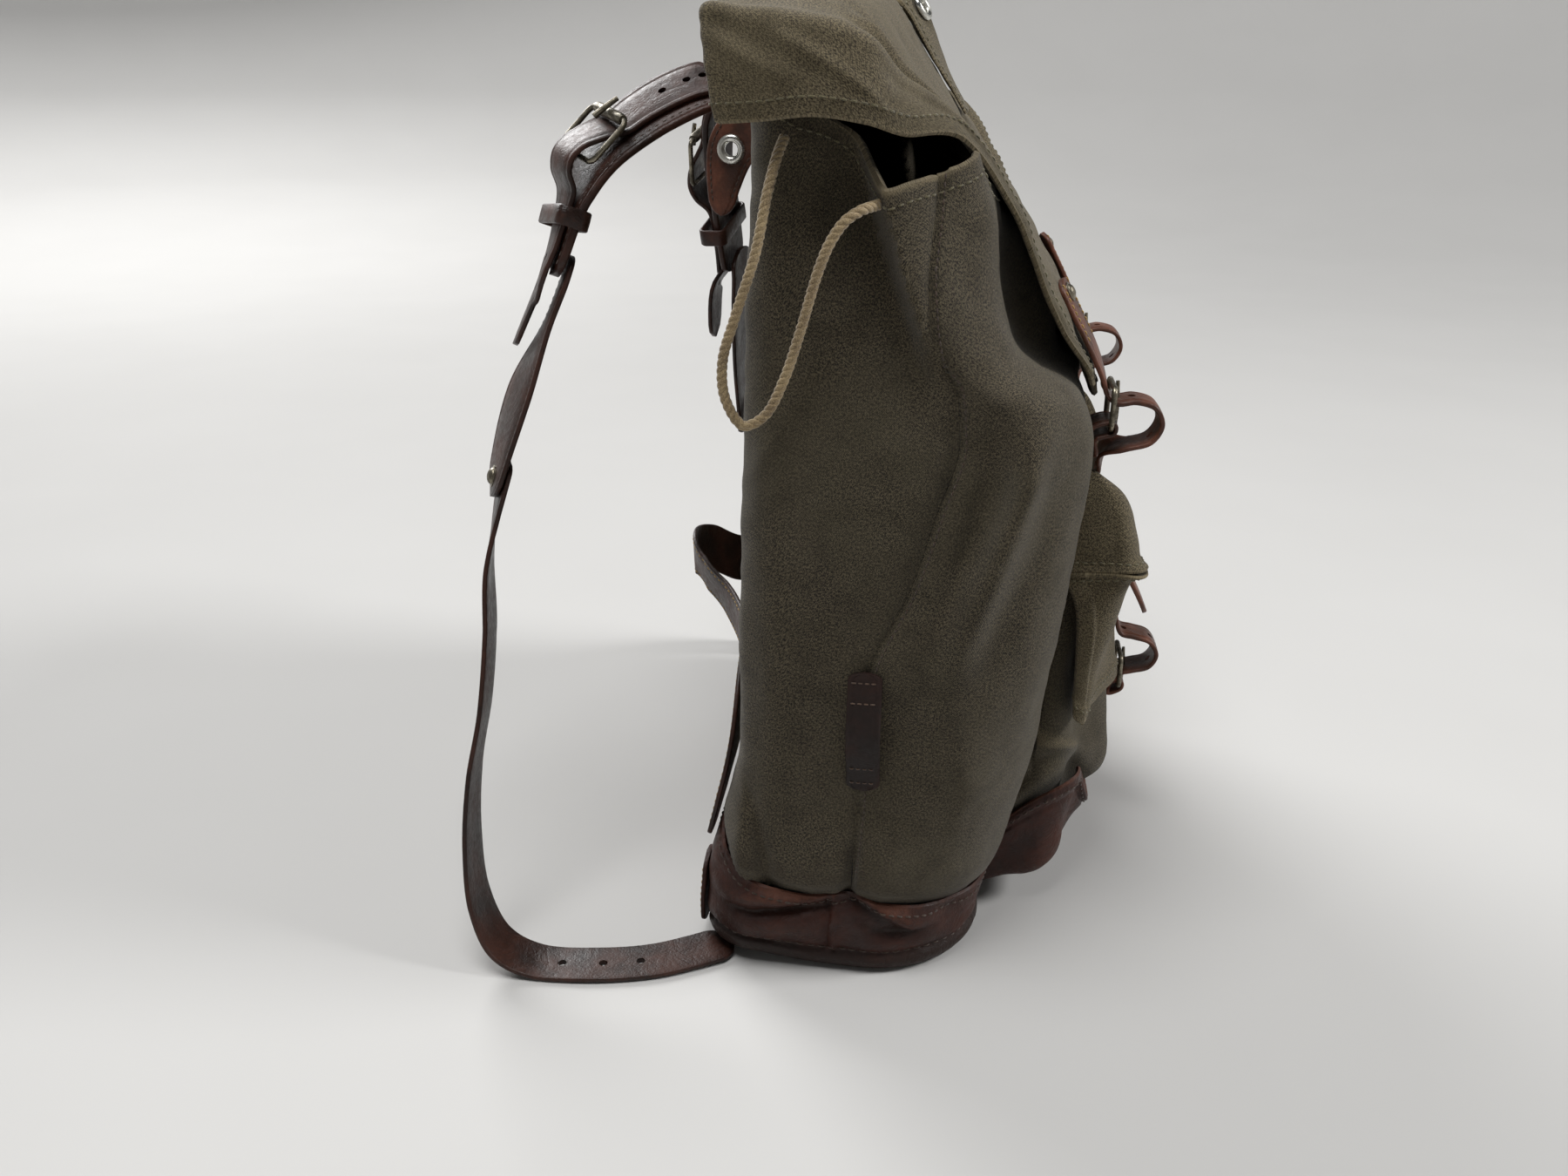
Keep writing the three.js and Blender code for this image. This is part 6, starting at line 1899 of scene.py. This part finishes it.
@dataclass(frozen=True)
class CarryStrap:
    """One carrying strap: pad, upper strap with buckle and keeper, lower strap and punched end."""

    side: Side
    pad_rows: Table
    tail_rows: Table
    lower_rows: Table
    end_rows: Table
    end_holes: Numbers
    pad: float = 4.0
    strap: float = 2.6
    wire: float = 1.45
    strap_width: float = 29.0
    from_pad: float = 0.9
    gap: float = 0.5
    buckle_at: float = 0.49
    buckle_size: Pair = (41.0, 27.0)
    keeper_at: float = 0.74
    keeper_room: Pair = (5.0, 8.0)
    rivet_at: float = 0.84
    rivet_size: Pair = (6.0, 3.2)
    upper_holes: Numbers = (0.08, 0.16, 0.24, 0.83, 0.955)

    def build(self, shop: Workshop) -> None:
        """Make the strap's pieces from the top down."""
        word, back = self.side.word, (0, -1, 0)
        pad = Route(self.pad_rows, back)
        thread = Form()
        node = f"shoulder_pad_{word}"
        frames = shop.strap(
            pad, Finish.STRAP, node, self.pad, steps=90, crown=1.5, tips=(5, 9), groove=0.5
        )
        thread.edge_stitches(frames.part(4, -4), 4.6, self.pad / 2 - 1.3, Stitch.LEATHER)

        top = self.pad / 2 + self.from_pad
        frame_out = top + self.strap + 5 * self.gap + 1.4
        over, on_pad = frame_out + 1.4 + self.gap + self.strap / 2, top + self.strap / 2
        lift = Table(
            "at lift",
            (0, on_pad),
            (0.38, on_pad),
            (0.42, on_pad + 0.3),
            (0.48, mix(on_pad, over, 0.62)),
            (0.535, over + 1.6),
            (0.575, over + 2.8),
            (0.61, over + 2.2),
            (0.66, mix(on_pad, over, 0.3)),
            (0.7, on_pad),
            (1, on_pad + 1),
        )
        at = np.linspace(0, 1, 25)
        held = pad.at(at)
        laid = held.point(0, lift.read("lift", at, "at"))
        rows = [(*p, self.strap_width, *a) for p, a in zip(laid, held.a)]
        rows += [(*row, *held.a[-1]) for row in self.tail_rows.rows]
        upper = Route(Table("x y z width ax ay az", *rows), back)
        node = f"shoulder_strap_{word}"
        shop.strap(
            upper, Finish.STRAP, node, self.strap, steps=170, crown=0.5,
            tips=(6, 13), holes=self.upper_holes, bore=2.2,
        )
        self.build_buckle(shop, pad, frame_out, over)

        held = pad.at([self.keeper_at])
        stack = self.pad + self.from_pad + self.strap
        width, height = held.width[0] + self.keeper_room[0], stack + self.keeper_room[1]
        middle = held.point(0, (top + self.strap - self.pad / 2) / 2)[0]
        form = Form()
        hoop(form, rounded_frame(width, height, 4.0, middle, held.a[0], held.n[0], 8), held.t[0], 10.0, 2.2)
        shop.settle(form, Finish.STRAP, "leather", f"shoulder_keeper_{word}")

        lower = Route(self.lower_rows, back)
        node = f"lower_strap_{word}"
        shop.strap(lower, Finish.STRAP, node, self.strap, steps=90, crown=0.8, tips=(7, 11))
        held = lower.at([self.rivet_at])
        form = Form()
        rivet(form, held.point(0, self.strap / 2 - 0.2)[0], held.n[0], *self.rivet_size)
        shop.settle(form, Finish.AGED, "head", f"strap_rivet_{word}")
        edges = lower.at(np.linspace(0.06, 0.92, 60))
        thread.edge_stitches(edges, 2.9, self.strap / 2 - 0.9, Stitch.SUNK)

        end = Route(self.end_rows, back)
        node = f"end_strap_{word}"
        shop.strap(
            end, Finish.STRAP, node, self.strap, steps=230, crown=0.3,
            tips=(6, 12), holes=self.end_holes, bore=2.4,
        )
        shop.sew(thread, Finish.DARK, f"shoulder_stitching_{word}")

    def build_buckle(self, shop: Workshop, pad: Route, frame_out: float, over: float) -> None:
        """Make the wire frame with its roller, and the prong."""
        word = self.side.word
        held = pad.at([self.buckle_at])
        a, n = held.a[0], held.n[0]
        along = np.cross(n, a)
        centre = held.point(0, frame_out)[0]
        width, height = self.buckle_size
        form = Form()
        form.wire(rounded_frame(width, height, 4.5, centre, a, along), self.wire, 12, closed=True)
        upwards = along if np.dot(along, held.t[0]) < 0 else -along
        half, bar = width / 2 - 4.5, centre + upwards * height / 2
        reach = np.linspace(-half, half, 14)
        roller = np.where(np.abs(reach) > half - 1.5, 2.3, 2.9)
        form.wire(bar + reach[:, None] * a, roller, 18)
        shop.settle(form, Finish.AGED, "wire", f"shoulder_buckle_{word}")
        tongue = pad.at(np.linspace(0.46, 0.385, 12))
        line = tongue.point(0, over + np.linspace(2.6, 2.2, 12))
        form = Form()
        form.wire(line, np.linspace(1.7, 1.25, 12), 10)
        shop.settle(form, Finish.AGED, "wire", f"shoulder_prong_{word}")


@dataclass
class CarryingStraps:
    """Both carrying straps: the left one stands away from the back, the right one hangs close to it."""

    left: CarryStrap = CarryStrap(
        Side.LEFT,
        Table(
            "x y z width lean",
            (-83, -55, 447, 40, 30), (-96, -60, 444, 44, 36), (-118, -69, 433, 46, 38),
            (-139, -80, 415, 46, 36), (-152, -88, 393, 45, 30), (-160, -95, 366, 42, 22),
            (-164, -98, 353, 38, 18),
        ),
        Table("x y z width", (-175, -92, 345, 27), (-192, -86, 314, 22)),
        Table(
            "x y z width lean",
            (-155, -93.2, 363, 34, 20), (-158.8, -96, 351, 36, 18), (-169, -102, 326, 37, 18),
            (-184, -110, 292, 38, 32), (-196, -119, 252, 36, 28), (-198.5, -122, 238, 30, 24),
        ),
        Table(
            "x y z lean",
            (-189.5, -118, 258, 28), (-196, -124, 230, 22), (-199, -134, 203, 14), (-196, -150, 170, 10),
            (-196, -166, 135, 8), (-200, -180, 100, 6), (-200, -192, 65, 4), (-195, -202, 33, 2),
            (-183, -208, 11, 0), (-164, -210, 2.2, 0), (-130, -208, 1.5, 0), (-100, -200.5, 1.5, 0),
            (-78, -189, 1.5, 0), (-60, -177, 1.5, 0),
            width=27,
        ),
        (0.73, 0.78, 0.83),
    )
    right: CarryStrap = CarryStrap(
        Side.RIGHT,
        Table(
            "x y z width lean",
            (-83, 54, 445, 40, -14), (-94, 56, 440, 44, -12), (-104, 60, 426, 46, -10),
            (-107, 66, 403, 46, -8), (-105, 74, 375, 45, -8), (-103, 82, 347, 42, -8),
            (-102, 86, 334, 38, -8),
        ),
        Table("x y z width", (-112, 82, 322, 27), (-115, 86, 288, 22)),
        Table(
            "x y z width lean",
            (-97, 82, 345, 34, -8), (-96.4, 86, 331, 36, -8), (-98, 94, 305, 37, -8),
            (-100, 106, 268, 38, -6), (-101, 120, 229, 36, -4), (-102, 125, 216, 30, -4),
        ),
        Table(
            "x y z lean",
            (-95, 118, 235, -6), (-96.5, 128, 209, -8), (-98, 146, 178, -10), (-100, 170, 142, -10),
            (-104, 192, 104, -8), (-110, 206, 66, -6), (-114, 212, 34, -4), (-112, 214, 13, -2),
            (-102, 213, 3, 0), (-90, 210, 1.6, 0), (-72, 205, 1.5, 0),
            width=27,
        ),
        (0.5, 0.58, 0.66),
    )

    def build(self, shop: Workshop) -> None:
        """Make the left strap, then the right one."""
        self.left.build(shop)
        self.right.build(shop)


@dataclass
class BackFittings:
    """What is on the back: the plate and rings of the straps, the hanging tab, the hip strap and its tabs."""

    sack: Sack
    leather: float = 2.4
    lap: float = 1.1
    plate_half: float = 74.0
    plate_foot: float = 396.0
    plate_top: float = 443.0
    plate_thick: float = 3.4
    ring: Place = (-66.0, 54.0, 446.5)
    ring_size: Pair = (41.0, 17.0)
    ring_wire: float = 1.5
    hang_tab: Table = Table(
        "x y z width",
        (-74.9, 22, 434, 30), (-80, 23, 423, 31), (-90, 24, 410, 29), (-95, 24, 391, 21),
        (-97, 24, 372, 13),
    )
    eyelet_at: float = 0.5
    hip_strap: Table = Table(
        "x y z width",
        (-73.6, -163, 64, 22), (-67.5, -160, 88, 23), (-61.5, -152, 116, 24), (-61, -133, 138, 26),
        (-64, -104, 147, 28), (-71, -76, 150, 30), (-83, -53, 156, 30), (-99, -35, 165, 30),
        (-109, -18, 172, 30), (-104, 8, 166, 30), (-91, 32, 151, 30), (-77, 64, 141, 30),
        (-67, 100, 137, 28), (-62, 132, 130, 26), (-62, 152, 110, 24), (-67.5, 160, 87, 23),
        (-73.6, 163, 64, 22),
    )
    tab_y: float = 162.0
    tab_heights: Numbers = (8.0, 24.0, 38.0, 50.0)
    tab_width: float = 24.0

    def build(self, shop: Workshop) -> None:
        """Make the fittings from the top down."""
        thread, yellow = Form(), Form()
        share = np.linspace(-1, 1, 80)[None, :]
        z = np.linspace(self.plate_foot, self.plate_top, 30)[:, None]
        y = share * self.plate_half
        corner = 9.0
        short = np.maximum(0, corner - (self.plate_half - np.abs(y))) / corner
        middle = (self.plate_foot + self.plate_top) / 2
        z = middle + (z - middle) * (1 - 0.36 * (1 - np.sqrt(np.maximum(0, 1 - short**2))))
        y = np.broadcast_to(y, z.shape)
        grid = np.stack([self.sack.back_x(z, y) - self.lap - self.plate_thick, y, z], axis=-1)
        form = Form()
        out = form.sheet(grid, self.plate_thick, (0, 0, 420), 0.3 * hump(short - 1, 0.4))
        shop.settle(form, Finish.STRAP, "leather", "strap_anchor")
        for edge in Edge:
            thread.stitches(*beside(grid, out, edge, 4.0))

        for side in Side:
            x, ring_y, ring_z = self.ring
            centre = np.array([x, side.value * ring_y, ring_z])
            width, height = self.ring_size
            forward, across, _ = np.eye(3)
            form = Form()
            path = rounded_frame(width, height, 4.0, centre, across, forward)
            form.wire(path, self.ring_wire, 12, closed=True)
            shop.settle(form, Finish.AGED, "wire", f"anchor_ring_{side.word}")

        route = Route(self.hang_tab, hint=(1, 0, 0))
        hole = [self.eyelet_at]
        frames = shop.strap(
            route, Finish.TAN, "hang_tab", self.leather, steps=70, crown=1.2,
            tips=(4, 9), holes=hole, bore=4.2, slot=Slot.STRAP,
        )
        thread.edge_stitches(frames.part(3, -8), 2.9, self.leather / 2 - 0.7, Stitch.HANG_TAB)
        held = route.at(hole)
        form = Form()
        grommet(form, held.point(0, self.leather / 2 + 0.2)[0], held.n[0], 8.5, 4.0, 2.4)
        shop.settle(form, Finish.BRIGHT, "ring", "tab_eyelet")

        route = Route(self.hip_strap, hint=(0, 0, 1), outward=(-1, 0, 0))
        shop.strap(route, Finish.STRAP, "hip_strap", self.leather, steps=260, crown=0.4, tips=(6, 6))
        frames = route.at(np.linspace(0.02, 0.98, 240))
        yellow.edge_stitches(frames, 2.9, self.leather / 2 - 0.5, Stitch.HIP)

        for side in Side:
            z = np.array(self.tab_heights)
            grow = self.lap + self.leather
            skin = self.sack.outline(z, Half.BACK, np.full(z.shape, 0.36), grow, folded=False)
            x = skin[:, 0] - 2 * self.lap - self.leather / 2
            rows = Table("x z", *zip(x, z), y=side.value * self.tab_y, width=self.tab_width)
            route = Route(rows)
            node = f"base_tab_{side.word}"
            shop.strap(route, Finish.BASE, node, self.leather, steps=40, crown=0.3, tips=(6, 6))
            frames = route.at(np.linspace(0.1, 0.9, 24))
            yellow.edge_stitches(frames, 3.0, self.leather / 2 - 0.2, Stitch.HIP)
        shop.sew(thread, Finish.DARK, "back_stitching")
        shop.sew(yellow, Finish.YELLOW, "hip_strap_stitching")


def main() -> None:
    """Build the scene: camera and cord first, then the rucksack from the sack outwards."""
    logging.basicConfig(level=logging.INFO, format="%(message)s")
    shop = Workshop()
    Studio().build()
    Drawstring().build(shop)
    sack = Sack()
    base = BaseCup(sack)
    pocket = Pocket(sack)
    sack.build(shop, base)
    base.build(shop)
    Lid().build(shop)
    pocket.build(shop)
    SideTabs(sack).build(shop)
    FrontStraps(sack, pocket).build(shop)
    CarryingStraps().build(shop)
    BackFittings(sack).build(shop)


if __name__ == "__main__":
    main()
